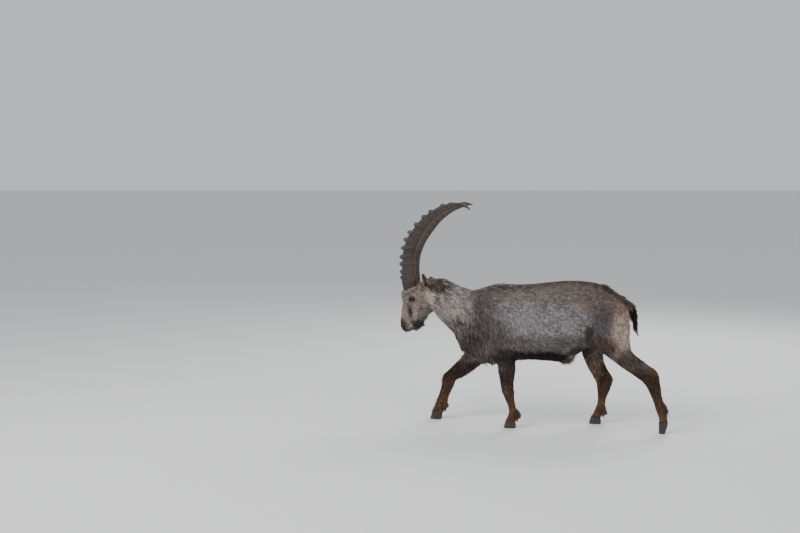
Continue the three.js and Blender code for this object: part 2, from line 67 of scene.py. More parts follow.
def objectMode():
    bpy.ops.object.mode_set(mode="OBJECT")


def shadeSmooth(piece):
    selectOnly(piece)
    bpy.ops.object.shade_smooth()


def named(name):
    piece = bpy.context.object
    piece.name = piece.data.name = name
    return piece


def applyModifier(piece, kind, **settings):
    selectOnly(piece)
    modifier = piece.modifiers.new(kind.lower(), kind)
    for key, value in settings.items():
        setattr(modifier, key, value)
    bpy.ops.object.modifier_apply(modifier=modifier.name)


def dropMaterials(piece):
    piece.data.materials.clear()
    piece.data.polygons.foreach_set("material_index", np.zeros(len(piece.data.polygons), np.int32))


def copyOfNodes(names, pieceName):
    copies = []
    for name in names:
        copy = nodes[name].copy()
        copy.data = nodes[name].data.copy()
        for key in [key for key in copy.keys() if key.startswith("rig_")]:
            del copy[key]
        copy.parent = None
        bpy.context.scene.collection.objects.link(copy)
        copies.append(copy)
    selectOnly(*copies)
    if len(copies) > 1:
        bpy.ops.object.join()
    piece = named(pieceName)
    dropMaterials(piece)
    editMesh(piece)
    bpy.ops.mesh.remove_doubles(threshold=1e-5)
    objectMode()
    return piece


# One value of each item, as rows of this width
def readAll(items, key, width, kind=float):
    values = np.empty(len(items) * width, kind)
    items.foreach_get(key, values)
    return values.reshape(-1, width)


def coordsOf(piece):
    return readAll(piece.data.vertices, "co", 3)


def normalsOf(piece):
    return readAll(piece.data.vertices, "normal", 3)


def edgesOf(piece):
    return readAll(piece.data.edges, "vertices", 2, int)


def moveTo(piece, coords):
    piece.data.vertices.foreach_set("co", np.ascontiguousarray(coords, dtype=np.float32).ravel())
    piece.data.update()


def finishPiece(piece, material, slotName, *replaced):
    piece.data.materials.append(material)
    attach(piece, "root")
    if replaced:
        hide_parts(*replaced)


# Numbers over a surface: soft steps, noise, spreading from point to point
def smoothStep(low, high, value):
    t = np.clip((value - low) / (high - low), 0, 1)
    return t * t * (3 - 2 * t)


def unit(vectors):
    return vectors / np.maximum(np.linalg.norm(vectors, axis=1), 1e-9)[:, None]


# Smooth noise from 0 to 1, mixed from a whole number for each corner of a cell
def noiseAt(points, scale, seed=0):
    spot = points * scale + 13.7 * seed
    cell = np.floor(spot).astype(np.int64)
    part = spot - cell
    part = part * part * (3 - 2 * part)
    total = np.zeros(len(points))
    for corner in range(8):
        step = np.array([corner & 1, corner >> 1 & 1, corner >> 2])
        at = cell + step
        mixed = at[:, 0] * 73856093 ^ at[:, 1] * 19349663 ^ at[:, 2] * 83492791
        mixed = ((mixed ^ (mixed >> 13)) * 1274126177) & 0x7FFFFFFF
        share = np.prod(np.where(step == 1, part, 1 - part), axis=1)
        total += (mixed % 10007) / 10006 * share
    return total


def spread(values, edges, rounds, hold=None):
    counts = np.maximum(np.bincount(edges.ravel(), minlength=len(values)), 1)
    values = values.astype(float).copy()
    start = values.copy()
    for _ in range(rounds):
        mixed = np.empty_like(values)
        for k in range(values.shape[1]):
            near = np.bincount(edges[:, 0], values[edges[:, 1], k], len(values))
            far = np.bincount(edges[:, 1], values[edges[:, 0], k], len(values))
            mixed[:, k] = (near + far) / counts
        values = 0.4 * values + 0.6 * mixed
        if hold is not None:
            values = values * (1 - hold[:, None]) + start * hold[:, None]
    return values


def treeOf(*names):
    corners, faces = [], []
    for name in names:
        mesh = nodes[name].data
        faces += [[len(corners) + v for v in p.vertices] for p in mesh.polygons]
        corners += [v.co.copy() for v in mesh.vertices]
    return BVHTree.FromPolygons(corners, faces)


# Hues: from the 0 to 255 scale to the renderer's, and one laid over others
def fromScreen(hue):
    level = np.asarray(hue, float) / 255
    return np.where(level <= 0.04045, level / 12.92, ((level + 0.055) / 1.055) ** 2.4)


def layOver(hue, over, share):
    share = np.clip(share, 0, 1)[:, None]
    return hue * (1 - share) + fromScreen(over) * share


def writeHue(piece, hues, name):
    layer = piece.data.color_attributes.new(name, "FLOAT_COLOR", "POINT")
    full = np.ones((len(hues), 4), np.float32)
    full[:, :3] = hues
    layer.data.foreach_set("color", full.ravel())


# Materials: a socket takes a value, or what another node gives
def newMaterial(name):
    material = bpy.data.materials.new(name)
    material.use_nodes = True
    return material, material.node_tree.nodes["Principled BSDF"]


def setSockets(node, sockets):
    for key, value in sockets.items():
        if isinstance(value, bpy.types.NodeSocket):
            node.id_data.links.new(value, node.inputs[key])
        else:
            node.inputs[key].default_value = value


def addNode(material, kind, output, sockets=None, **settings):
    node = material.node_tree.nodes.new("ShaderNode" + kind)
    for key, value in settings.items():
        setattr(node, key, value)
    setSockets(node, sockets or {})
    return node.outputs[output]


def objectPlace(material):
    return addNode(material, "TexCoord", "Object")


def addNoise(material, place, scale, detail=2):
    return addNode(material, "TexNoise", "Fac", {"Vector": place, "Scale": scale, "Detail": detail})


def addRange(material, value, low, high, start=0, end=1):
    sockets = {"Value": value, "From Min": start, "From Max": end, "To Min": low, "To Max": high}
    return addNode(material, "MapRange", "Result", sockets)


def addTint(material, layerName, light):
    hue = addNode(material, "VertexColor", "Color", layer_name=layerName)
    return addNode(material, "VectorMath", "Vector", {0: hue, "Scale": light}, operation="SCALE")


def addRamp(material, value, *stops):
    ramp = addNode(material, "ValToRGB", "Color", {"Fac": value})
    for element, (at, hue) in zip(ramp.node.color_ramp.elements, stops):
        element.position = at
        element.color = (*fromScreen(hue), 1)
    return ramp


def addBump(material, height, strength, distance):
    sockets = {"Height": height, "Strength": strength, "Distance": distance}
    return addNode(material, "Bump", "Normal", sockets)


# Camera, at the photo's place and angle
view = {"at": (0.2494, -6.7115, 1.4736), "heading": -8.9276, "pitch": -4.349, "lens": 50.0}


def addCamera():
    heading, pitch = math.radians(view["heading"]), math.radians(view["pitch"])
    level = math.cos(pitch)
    ahead = Vector((math.sin(heading) * level, math.cos(heading) * level, math.sin(pitch)))
    bpy.ops.object.camera_add(location=view["at"])
    camera = bpy.context.object
    camera.rotation_mode = "QUATERNION"
    camera.rotation_quaternion = ahead.to_track_quat("-Z", "Y")
    camera.data.lens = view["lens"]
    camera.data.sensor_width = 36.0
    camera.data.clip_end = 200
    bpy.context.scene.camera = camera


# Floor and soft studio light
studio = {
    "floorSize": 600.0,
    "floorColour": (0.74, 0.74, 0.73, 1),
    "sky": (0.86, 0.88, 0.92, 1),
    "skyStrength": 0.75,
    "lit": (0, 0, 0.6),
    "lights": {
        "key": {"at": (-3.2, -3.4, 4.6), "size": 3.2, "watts": 250},
        "fill": {"at": (4.2, -4.0, 2.6), "size": 4.0, "watts": 60},
        "back": {"at": (1.5, 4.0, 4.2), "size": 3.0, "watts": 170},
    },
}


def addStudio():
    bpy.ops.mesh.primitive_plane_add(size=studio["floorSize"], location=(0, 0, 0))
    floor = named("floor")
    material, shader = newMaterial("floorPaint")
    setSockets(shader, {"Base Color": studio["floorColour"], "Roughness": 0.9})
    floor.data.materials.append(material)
    world = bpy.data.worlds.new("studioAir")
    world.use_nodes = True
    background = world.node_tree.nodes["Background"]
    setSockets(background, {"Color": studio["sky"], "Strength": studio["skyStrength"]})
    bpy.context.scene.world = world
    for name, light in studio["lights"].items():
        bpy.ops.object.light_add(type="AREA", location=light["at"])
        lamp = named(name)
        lamp.data.size = light["size"]
        lamp.data.energy = light["watts"]
        towards = Vector(studio["lit"]) - Vector(light["at"])
        lamp.rotation_euler = towards.to_track_quat("-Z", "Y").to_euler()


addCamera()
addStudio()
print("camera and studio ready")

# The head's forms are given as if it looked straight ahead, in millimetres, and turned about the poll
headPlace = {"poll": -650, "turn": 8.0, "shift": 0.015}


def headPoint(x, y, z):
    poll, turn = headPlace["poll"] / 1000, math.radians(headPlace["turn"])
    across, along = np.asarray(y) / 1000, np.asarray(x) / 1000 - poll
    turnedX = poll + along * math.cos(turn) + across * math.sin(turn) + headPlace["shift"]
    turnedY = -along * math.sin(turn) + across * math.cos(turn)
    return np.stack([turnedX, turnedY, np.asarray(z) / 1000 + 0 * along], -1)


def sidePoint(place, side):
    return headPoint(place[0], side * place[1], place[2])


def sideWay(way, side):
    poll = headPlace["poll"]
    turned = headPoint(1000 * way[0] + poll, 1000 * side * way[1], 1000 * way[2]) - headPoint(poll, 0, 0)
    return turned / np.linalg.norm(turned)


# Skin: one closed surface in place of the flesh
skinShape = {
    "voxel": 0.0084,
    "smoothing": 10,
    "faceHold": 0.9,  # how much of the face's and the shins' own form is kept
    "shinHold": 0.65,
    "coatDepth": 0.0045,
    "headDepth": 0.0012,
    "earVoxel": 0.0014,
    "earSmoothing": 5,
    "head": (-0.60, 0.52),  # rearmost X and lowest Z of what is drawn to the head's solid
    "drawn": 0.009,
    "finer": [(-0.605, 0.53), (-0.662, 0.545)],  # the same, of what is made finer once and twice
}
# Strokes on the head, in its own millimetres, for both sides: place, reach, how far out
headStrokes = [
    (-746, 46, 741, 15, -2.6),  # hollow in front of the eye
    (-742, 58, 781, 11, 2.4),  # brow
    (-722, 64, 779, 10, 1.8),
    (-731, 67, 746, 8, 1.6),  # lower lid
    (-716, 60, 738, 13, 1.6),  # cheek bone
    (-740, 46, 725, 12, 1.6),
    (-698, 52, 800, 15, -2.5),  # temple
    (-776, 24, 676, 24, -3.0),  # side of the nose
    (-795, 12, 690, 22, 1.8),  # bridge
    (-692, 40, 676, 22, 2.6),  # jaw muscle
    (-742, 30, 640, 18, -2.4),  # hollow of the cheek
    (-813, 20, 607, 8, 1.6),  # rim of the nostril
    (-806, 24, 596, 7, 1.4),
    (-819, 17, 600, 5, -4.5),  # nostril
    (-812, 17, 597, 4, -3.0),
    (-826, 0, 592, 5, -1.6),  # groove under the nose
    (-800, 19, 584, 7, 1.8),  # upper lip
    (-785, 21, 570, 8, 1.6),  # lower lip
    (-752, 24, 606, 8, 1.4),  # corner of the mouth
]
mouthLine = {"front": (-818, 572), "rear": (-751, 604), "halfWidth": 3.2, "deep": 2.6, "top": 0.62}


def isHead(coords, limits):
    return (coords[:, 0] < limits[0]) & (coords[:, 2] > limits[1])


def faceWeight(coords):
    return smoothStep(-0.600, -0.645, coords[:, 0]) * smoothStep(0.5, 0.55, coords[:, 2])


def shinWeight(coords):
    return smoothStep(0.42, 0.3, coords[:, 2])


def growFiner(piece, limits):
    editMesh(piece, "DESELECT")
    objectMode()
    centres = np.array([face.center for face in piece.data.polygons])
    piece.data.polygons.foreach_set("select", isHead(centres, limits))
    bpy.ops.object.mode_set(mode="EDIT")
    bpy.ops.mesh.subdivide(number_cuts=1)
    objectMode()


def drawToSolid(piece):
    coords = coordsOf(piece)
    tree, weight = treeOf("head"), faceWeight(coords)
    for k in np.where(isHead(coords, skinShape["head"]))[0]:
        spot, _, _, away = tree.find_nearest(Vector(coords[k]))
        if away < skinShape["drawn"]:
            coords[k] += (np.array(spot) - coords[k]) * weight[k]
    hold = 1.0 - isHead(coords, skinShape["head"])
    moveTo(piece, spread(coords, edgesOf(piece), 3, hold))


def carveHead(piece):
    for x, y, z, reach, push in headStrokes:
        for across in {y, -y}:
            coords, normals = coordsOf(piece), normalsOf(piece)
            away = np.linalg.norm(coords - headPoint(x, across, z), axis=1) / (reach / 1000)
            pushed = np.exp(-2.2 * away**2) * push / 1000 * (away < 2)
            moveTo(piece, coords + normals * pushed[:, None])


def carveMouth(piece):
    coords, normals = coordsOf(piece), normalsOf(piece)
    start, end = (headPoint(x, 0, z) for x, z in (mouthLine["front"], mouthLine["rear"]))
    way = end - start
    flat = (coords - start) * [1, 0, 1]
    share = np.clip(flat @ way / (way @ way), 0, 1)
    away = np.linalg.norm(flat - share[:, None] * way * [1, 0, 1], axis=1) * 1000
    dip = np.exp(-((away / mouthLine["halfWidth"]) ** 2)) * mouthLine["deep"] / 1000
    dip *= (1 - smoothStep(0.85, 1, share)) * (coords[:, 2] < mouthLine["top"])
    moveTo(piece, coords - normals * dip[:, None])


def addSkin():
    piece = copyOfNodes(fleshNodes, "skin")
    applyModifier(piece, "REMESH", mode="VOXEL", voxel_size=skinShape["voxel"])
    coords = coordsOf(piece)
    hold = faceWeight(coords) * skinShape["faceHold"] + shinWeight(coords) * skinShape["shinHold"]
    moveTo(piece, spread(coords, edgesOf(piece), skinShape["smoothing"], np.clip(hold, 0, 0.92)))
    for limits in skinShape["finer"]:
        growFiner(piece, limits)
    drawToSolid(piece)
    carveHead(piece)
    carveMouth(piece)
    coords = coordsOf(piece)
    face = faceWeight(coords)
    depth = skinShape["coatDepth"] * (1 - face) * (1 - 0.6 * shinWeight(coords))
    depth += skinShape["headDepth"] * face
    moveTo(piece, coords - normalsOf(piece) * depth[:, None])
    return piece


def addEars(piece):
    for word in sides:
        ear = copyOfNodes(["ear_" + word], "earShape")
        applyModifier(ear, "REMESH", mode="VOXEL", voxel_size=skinShape["earVoxel"])
        moveTo(ear, spread(coordsOf(ear), edgesOf(ear), skinShape["earSmoothing"]))
        applyModifier(piece, "BOOLEAN", operation="UNION", object=ear, solver="MANIFOLD")
        bpy.data.objects.remove(ear)
    dropMaterials(piece)
    shadeSmooth(piece)


skin = addSkin()
addEars(skin)
print("skin", sum(len(face.vertices) - 2 for face in skin.data.polygons), "triangles")


# Markings of the coat, with hues on the 0 to 255 scale
# A patch is X, Z, half length, half height, hue, strength
markings = {
    "ground": (132, 120, 114),
    "patches": [
        (0.08, 0.67, 0.36, 0.15, (160, 157, 160), 0.85),  # grey flank
        (0.12, 0.52, 0.36, 0.06, (112, 106, 104), 0.6),
        (0.15, 0.84, 0.50, 0.10, (140, 127, 118), 0.85),  # warmer back
        (-0.20, 0.87, 0.09, 0.03, (170, 164, 162), 0.55),  # withers
        (0.43, 0.79, 0.18, 0.12, (124, 107, 98), 0.8),  # rump
        (0.535, 0.605, 0.088, 0.155, (202, 182, 166), 0.88),  # back of the thigh
        (0.54, 0.735, 0.06, 0.045, (152, 126, 110), 0.6),
        (0.578, 0.728, 0.022, 0.030, (214, 200, 188), 0.6),  # pale edge beside the tail
        (0.585, 0.785, 0.055, 0.035, (58, 43, 34), 0.85),  # over the tail
        (0.415, 0.66, 0.075, 0.11, (84, 79, 82), 0.75),
        (0.41, 0.515, 0.12, 0.070, (78, 52, 37), 0.8),  # stifle
        # Near black in the fold between the flank and the thigh: painted shade in the crease
        (0.335, 0.585, 0.035, 0.07, (28, 25, 25), 0.75),  # fold of the flank
        (0.05, 0.432, 0.42, 0.056, (18, 13, 10), 0.96),  # edge of the belly
        (0.29, 0.455, 0.09, 0.05, (56, 61, 62), 0.85),  # groin
        (0.245, 0.420, 0.055, 0.030, (160, 160, 152), 0.85),
        (-0.30, 0.69, 0.085, 0.17, (97, 92, 94), 0.72),  # front of the shoulder
        (-0.25, 0.57, 0.16, 0.12, (96, 87, 83), 0.7),  # upper foreleg
        (-0.20, 0.46, 0.09, 0.06, (68, 58, 54), 0.7),  # elbow
        (-0.38, 0.53, 0.09, 0.08, (74, 67, 64), 0.8),  # breast
        (-0.50, 0.72, 0.13, 0.16, (186, 174, 168), 0.88),  # neck
        (-0.46, 0.62, 0.10, 0.06, (100, 92, 89), 0.75),  # throat
        (-0.565, 0.845, 0.090, 0.045, (72, 58, 50), 0.85),  # nape
        (-0.46, 0.85, 0.07, 0.025, (172, 168, 170), 0.6),
        (-0.625, 0.785, 0.035, 0.075, (208, 194, 174), 0.85),  # under the ear
        (-0.675, 0.70, 0.060, 0.08, (142, 127, 117), 0.8),  # cheek
        (-0.745, 0.80, 0.05, 0.05, (134, 123, 110), 0.8),
        (-0.675, 0.815, 0.04, 0.05, (150, 134, 118), 0.8),  # forehead
        (-0.76, 0.68, 0.05, 0.10, (146, 130, 119), 0.8),  # nose
        (-0.79, 0.60, 0.030, 0.042, (62, 53, 50), 0.85),  # muzzle
        (-0.690, 0.610, 0.046, 0.030, (70, 56, 48), 0.9),  # jaw
    ],
    "legs": {"hue": (58, 33, 18), "from": 0.46, "to": 0.34},
    "shins": {"hue": (108, 80, 56), "from": 0.30, "to": 0.12},
    "tail": {"at": (0.605, 0.68), "half": (0.035, 0.12), "halfWidth": 0.045, "hue": (34, 27, 24)},
    "spine": {"hue": (54, 52, 56), "core": 0.030, "edge": 0.085, "strength": 0.75},
    "drift": [(0.5, 22, 1), (0.4, 60, 2)],  # share, scale and seed of the noise that blurs edges
    "mottle": [(1.7, 150, 3), (0.6, 62, 4), (0.4, 18, 5)],
    "mottled": 0.84,
}
# On the legs, as patches
legMarks = [
    (0.72, 0.37, 0.035, 0.03, (118, 76, 46), 0.6),  # point of the hock
    (0.46, 0.30, 0.02, 0.05, (110, 78, 58), 0.5),
    (0.38, 0.33, 0.05, 0.10, (136, 113, 96), 0.7),
    (0.58, 0.45, 0.09, 0.06, (66, 50, 39), 0.75),  # gaskin
    (-0.14, 0.40, 0.07, 0.05, (40, 28, 24), 0.6),  # below the elbow
    (-0.14, 0.24, 0.04, 0.04, (112, 82, 58), 0.5),  # knees
    (-0.51, 0.26, 0.04, 0.03, (96, 70, 54), 0.35),
]
# On the face, in the head's own millimetres: place, reach along, across and up, hue, strength
faceMarks = [
    (-776, 30, 690, 17, 22, 42, (156, 139, 127), 0.7),  # side of the nose
    (-748, 42, 694, 20, 28, 52, (84, 74, 69), 0.75),
    (-746, 43, 692, 12, 26, 42, (48, 41, 39), 0.8),  # streak below the eye
    (-717, 52, 676, 13, 22, 52, (178, 168, 158), 0.65),  # pale band of the cheek
    (-684, 45, 708, 7, 20, 11, (56, 44, 38), 0.7),
    (-722, 58, 790, 26, 18, 7, (172, 154, 136), 0.75),  # brow
    (-750, 50, 815, 36, 26, 10, (74, 57, 46), 0.8),
    (-731, 62, 761, 23, 18, 18, (12, 9, 8), 0.97),  # rims of the eyes
    (-762, 0, 800, 30, 24, 24, (104, 90, 76), 0.6),  # forehead
    (-802, 0, 700, 20, 14, 66, (84, 70, 61), 0.7),  # bridge of the nose
    (-800, 20, 622, 14, 14, 16, (98, 84, 78), 0.6),
    (-806, 10, 598, 42, 44, 40, (66, 57, 55), 0.85),
    (-826, 6, 603, 24, 40, 34, (28, 23, 22), 0.95),  # end of the nose
    (-819, 17, 600, 7, 8, 7, (14, 10, 10), 0.95),  # nostrils
    (-786, 18, 582, 34, 14, 4, (24, 18, 17), 0.8),  # line of the mouth
    (-744, 24, 627, 10, 16, 8, (38, 29, 26), 0.8),  # corner of the mouth
    (-752, 20, 600, 10, 17, 17, (204, 198, 190), 0.9),  # lower lip
    (-792, 14, 572, 36, 30, 22, (46, 38, 36), 0.92),  # chin
]
# On the ears: base and tip in the head's millimetres, the way the cup opens, half width, hues
earMarks = {
    "left": ((-641, -50, 836), (-652, -112, 928)),
    "right": ((-641, 50, 830), (-668, 138, 884)),
    "open": (-0.42, 0.86, -0.30),
    "half": 22.5,
    "slit": 0.12,
    "inside": (44, 36, 33),
    "rim": (186, 172, 156),
    "back": (118, 102, 90),
    "tip": (58, 48, 44),
}


def layPatches(hue, points, rows, drift, full):
    for x, z, halfX, halfZ, over, strength in rows:
        away = np.sqrt(((points[:, 0] - x) / halfX) ** 2 + ((points[:, 2] - z) / halfZ) ** 2) + drift
        hue = layOver(hue, over, strength * smoothStep(1.15, full, away))
    return hue


def layFace(hue, points, drift):
    for x, y, z, halfX, halfY, halfZ, over, strength in faceMarks:
        for across in {y, -y}:
            apart = (points - headPoint(x, across, z)) * 1000 / [halfX, halfY, halfZ]
            away = np.linalg.norm(apart, axis=1) + 0.5 * drift
            hue = layOver(hue, over, strength * smoothStep(1.3, 0.6, away))
    return hue


def layEar(hue, points, word):
    base, tip = (headPoint(*place) * 1000 for place in earMarks[word])
    axis = tip - base
    along = (points * 1000 - base) @ axis / (axis @ axis)
    face = sideWay(earMarks["open"], sides[word])
    off = points * 1000 - base - along[:, None] * axis
    broad = np.cross(axis / np.linalg.norm(axis), face)
    reach = earMarks["half"] * np.sin(np.pi * np.clip(0.16 + 0.84 * along, 0, 1)) ** 0.75 + 0.5
    near = (np.linalg.norm(off, axis=1) < reach + 4) * smoothStep(0.08, 0.2, along) * (along < 1.15)
    edge, depth = np.abs(off @ broad / reach + sides[word] * earMarks["slit"]), off @ face
    hue = layOver(hue, earMarks["back"], 0.9 * near)
    hue = layOver(hue, earMarks["rim"], 0.9 * near * smoothStep(0.62, 0.9, edge))
    hollow = smoothStep(0.62, 0.4, edge) * smoothStep(-7, -3, depth)
    hue = layOver(hue, earMarks["inside"], 0.95 * near * hollow)
    return layOver(hue, earMarks["tip"], 0.7 * near * smoothStep(0.86, 0.97, along))


# The coat's hue at any points, so that the skin and the tufts on it agree
def coatHue(points):
    x, y, z = points[:, 0], np.abs(points[:, 1]), points[:, 2]
    hue = np.tile(fromScreen(markings["ground"]), (len(points), 1))
    drift = sum(share * (noiseAt(points, scale, seed) - 0.5) for share, scale, seed in markings["drift"])
    hue = layPatches(hue, points, markings["patches"], drift, 0.45)
    spine = markings["spine"]
    line = smoothStep(spine["edge"], spine["core"], y + 0.02 * drift)
    line = spine["strength"] * line * smoothStep(-0.42, -0.22, x) * smoothStep(0.78, 0.84, z)
    hue = layOver(hue, spine["hue"], line)
    for part in ("legs", "shins"):
        leg = markings[part]
        hue = layOver(hue, leg["hue"], 0.92 * smoothStep(leg["from"], leg["to"], z + 0.05 * drift))
    hue = layPatches(hue, points, legMarks, drift, 0.4)
    tail = markings["tail"]
    away = np.hypot((x - tail["at"][0]) / tail["half"][0], (z - tail["at"][1]) / tail["half"][1])
    hue = layOver(hue, tail["hue"], smoothStep(1.2, 0.9, away + (y > tail["halfWidth"])))
    hue = layFace(hue, points, drift)
    for word in sides:
        hue = layEar(hue, points, word)
    mottle = sum(share * noiseAt(points, scale, seed) for share, scale, seed in markings["mottle"]) / 1.35 - 1
    return np.clip(hue * (1 + markings["mottled"] * mottle[:, None]), 0.002, 1)


# How the coat lies: places on the side view, X and Z, and the way the hair runs there
combGuides = [
    (-0.80, 0.60, 0.35, 0.94), (-0.77, 0.70, 0.45, 0.89), (-0.74, 0.80, 0.65, 0.76),
    (-0.68, 0.68, 0.92, 0.10), (-0.70, 0.61, 0.80, -0.50), (-0.64, 0.76, 0.80, -0.45),
    (-0.56, 0.86, 0.90, -0.30), (-0.52, 0.72, 0.72, -0.62), (-0.44, 0.60, 0.60, -0.75),
    (-0.40, 0.82, 0.95, -0.35), (-0.30, 0.68, 0.30, -0.92), (-0.20, 0.55, 0.15, -0.98),
    (-0.18, 0.86, 0.98, -0.12), (0.00, 0.66, 0.82, -0.55), (0.20, 0.87, 1.00, -0.02),
    (0.25, 0.62, 0.85, -0.50), (0.10, 0.45, 0.95, -0.25), (0.42, 0.82, 0.88, -0.45),
    (0.42, 0.60, 0.35, -0.92), (0.54, 0.70, 0.25, -0.97), (0.60, 0.74, 0.25, -0.97),
    (0.55, 0.45, 0.75, -0.65), (-0.10, 0.30, 0.05, -1.0), (-0.45, 0.30, -0.3, -0.95),
    (0.42, 0.28, 0.25, -0.95), (0.70, 0.35, 0.45, -0.90), (0.0, 0.05, 0.0, -1.0),
    (0.45, 0.05, 0.0, -1.0), (0.75, 0.12, 0.1, -1.0), (-0.58, 0.05, 0.0, -1.0),
]


def combed(coords, normals, edges):
    way, total = np.zeros((len(coords), 3)), np.zeros(len(coords))
    for x, z, alongX, alongZ in combGuides:
        weight = np.exp(-((coords[:, 0] - x) ** 2 + (coords[:, 2] - z) ** 2) / 0.0055) + 1e-9
        way += weight[:, None] * np.array([alongX, 0, alongZ])
        total += weight
    way = spread(way / total[:, None], edges, 6)
    way -= normals * np.sum(way * normals, axis=1)[:, None]
    way = spread(way, edges, 4)
    return way / np.maximum(np.linalg.norm(way, axis=1), 1e-6)[:, None]


# Coat: short tufts over the whole skin. For each part of the body: length, width, lift, count
coatTufts = {
    "body": (0.016, 0.0032, 0.26, 53000),  # the lift is a share of the length
    "neck": (0.036, 0.0038, 0.22, 13000),
    "breast": (0.046, 0.0052, 0.22, 6000),
    "legs": (0.017, 0.0030, 0.16, 26000),
    "face": (0.0085, 0.0017, 0.14, 17000),
    "ears": (0.011, 0.0016, 0.20, 4000),
    "thickness": 0.42,
    "sink": 0.0014,
    "lowest": 0.003,
    # Tufts are painted darker at the root and lighter towards the tip: painted shade between the hairs,
    # together with the hair's own banding
    "shade": 0.58,  # at the root, and how much more at the tip
    "pale": 0.12,  # share of paler tufts
    "patch": 0.003,
    "perPiece": 19000,
    "mostTriangles": 195000,
    "seed": 41,
}
# Rounds where no tuft grows, in the head's millimetres: place, reach along, across and up
bareRounds = [((-728, 57, 761), (21, 18, 13.5)), ((-819, 17, 600), (7, 7, 7)), ((-822, 0, 598), (9, 15, 9))]


def unwrapSkin(piece):
    editMesh(piece)
    bpy.ops.uv.smart_project(angle_limit=math.radians(66), island_margin=0.002)
    objectMode()
    piece.data.uv_layers.active.name = "OFBake"


# The skin as triangles to plant tufts on: their corners, and the corners' places on the unwrap
def trianglesOf(piece):
    mesh = piece.data
    mesh.calc_loop_triangles()
    corners, loops = (readAll(mesh.loop_triangles, key, 3, int) for key in ("vertices", "loops"))
    return corners, readAll(mesh.uv_layers["OFBake"].data, "uv", 2)[loops]


# Even, seeded roots over the triangles, thicker where density is more
def pickRoots(density, count, draw):
    a, b, c = (coords[skinCorners[:, k]] for k in range(3))
    area = np.linalg.norm(np.cross(b - a, c - a), axis=1) / 2
    share = np.cumsum(area * density[skinCorners].mean(1))
    spots = (np.arange(count) + draw.random(count)) / count * share[-1]
    picked = np.minimum(np.searchsorted(share, spots), len(share) - 1)
    mix = np.sort(draw.random((count, 2)), axis=1)
    return picked, np.stack([mix[:, 0], mix[:, 1] - mix[:, 0], 1 - mix[:, 1]], 1)[:, :, None]


def turned(ways, normals, angle):
    across = np.cross(ways, normals)
    return unit(ways * np.cos(angle)[:, None] + across * np.sin(angle)[:, None])


# Points, painted shades (darker at the root) and places on the unwrap of flat three-sided tufts that taper to
# a point
def tuftPoints(tufts, rings, droop, wave):
    roots, ways, normals, lengths = (tufts[key] for key in ("roots", "ways", "normals", "lengths"))
    across = unit(np.cross(ways, normals))
    count, each = len(roots), rings * 3 + 1
    points, shades, sheet = np.empty((count, each, 3)), np.empty((count, each)), np.empty((count, each, 2))
    for k, t in enumerate(np.linspace(0, 1, rings + 1)):
        high = tufts["lifts"] * lengths * (1.9 * t - 0.9 * t * t) - coatTufts["sink"] * (1 - t)
        middle = roots + ways * (lengths * t)[:, None] + normals * high[:, None]
        middle[:, 2] -= droop * lengths * t * t
        middle += across * (wave * lengths * math.sin(4.2 * t))[:, None]
        middle[:, 2] = np.maximum(middle[:, 2], coatTufts["lowest"])
        # Painted shade between the hairs: darker at the root, lighter towards the tip
        shades[:, 3 * k : 3 * k + 3] = coatTufts["shade"] * (1 + t)
        if k == rings:
            points[:, -1], sheet[:, -1] = middle, (0.5, 1)
            break
        half = tufts["widths"] * (1.0 if t < 0.4 else 1.25 * (1 - t) ** 0.6) / 2
        for j, (a, b) in enumerate(((-1, 0), (1, 0), (0, coatTufts["thickness"] * 2))):
            points[:, 3 * k + j] = middle + across * (a * half)[:, None] + normals * (b * half)[:, None]
            sheet[:, 3 * k + j] = (0.5 + 0.5 * a, t)
    return points, shades, sheet


def tuftFaces(rings):
    faces = [(0, 2, 1)]
    ways = ((0, 1), (1, 2), (2, 0))
    for k in range(rings - 1):
        for j, i in ways:
            a, b, c, d = 3 * k + j, 3 * k + i, 3 * k + 3 + i, 3 * k + 3 + j
            faces += [(a, b, c), (a, c, d)]
    last = 3 * (rings - 1)
    return np.array(faces + [(last + j, last + i, last + 3) for j, i in ways])


def meshOf(name, points, corners):
    mesh = bpy.data.meshes.new(name)
    mesh.vertices.add(len(points))
    mesh.vertices.foreach_set("co", points.astype(np.float32).ravel())
    mesh.loops.add(corners.size)
    mesh.loops.foreach_set("vertex_index", corners.ravel().astype(np.int32))
    mesh.polygons.add(len(corners))
    mesh.polygons.foreach_set("loop_start", np.arange(0, corners.size, 3, dtype=np.int32))
    mesh.polygons.foreach_set("loop_total", np.full(len(corners), 3, np.int32))
    mesh.polygons.foreach_set("use_smooth", np.ones(len(corners), bool))
    mesh.update(calc_edges=True)
    return mesh


# Tufts joined into pieces; each tuft has a small patch of the skin's unwrap, at its root
def addTufts(name, slotName, tufts, rings=2, droop=0, wave=0):
    points, shades, sheet = tuftPoints(tufts, rings, droop, wave)
    faces, count = tuftFaces(rings), len(points)
    most = min(coatTufts["perPiece"], coatTufts["mostTriangles"] // len(faces))
    for part, start in enumerate(range(0, count, most)):
        own = slice(start, min(count, start + most))
        firsts = np.arange(own.stop - own.start) * points.shape[1]
        corners = (faces[None] + firsts[:, None, None]).reshape(-1, 3)
        mesh = meshOf(f"{name}{part + 1}", points[own].reshape(-1, 3), corners)
        piece = bpy.data.objects.new(mesh.name, mesh)
        bpy.context.scene.collection.objects.link(piece)
        spots = tufts["flat"][own, None, :] + (sheet[own] - 0.5) * coatTufts["patch"]
        spots = np.clip(spots, 0.001, 0.999).reshape(-1, 2)
        layer = mesh.uv_layers.new(name="OFBake")
        layer.data.foreach_set("uv", spots[corners.ravel()].astype(np.float32).ravel())
        # Each tuft's hue times its painted shade, darker at the root
        writeHue(piece, (tufts["hues"][own, None, :] * shades[own, :, None]).reshape(-1, 3), "coatHue")
        finishPiece(piece, coatHair, slotName)


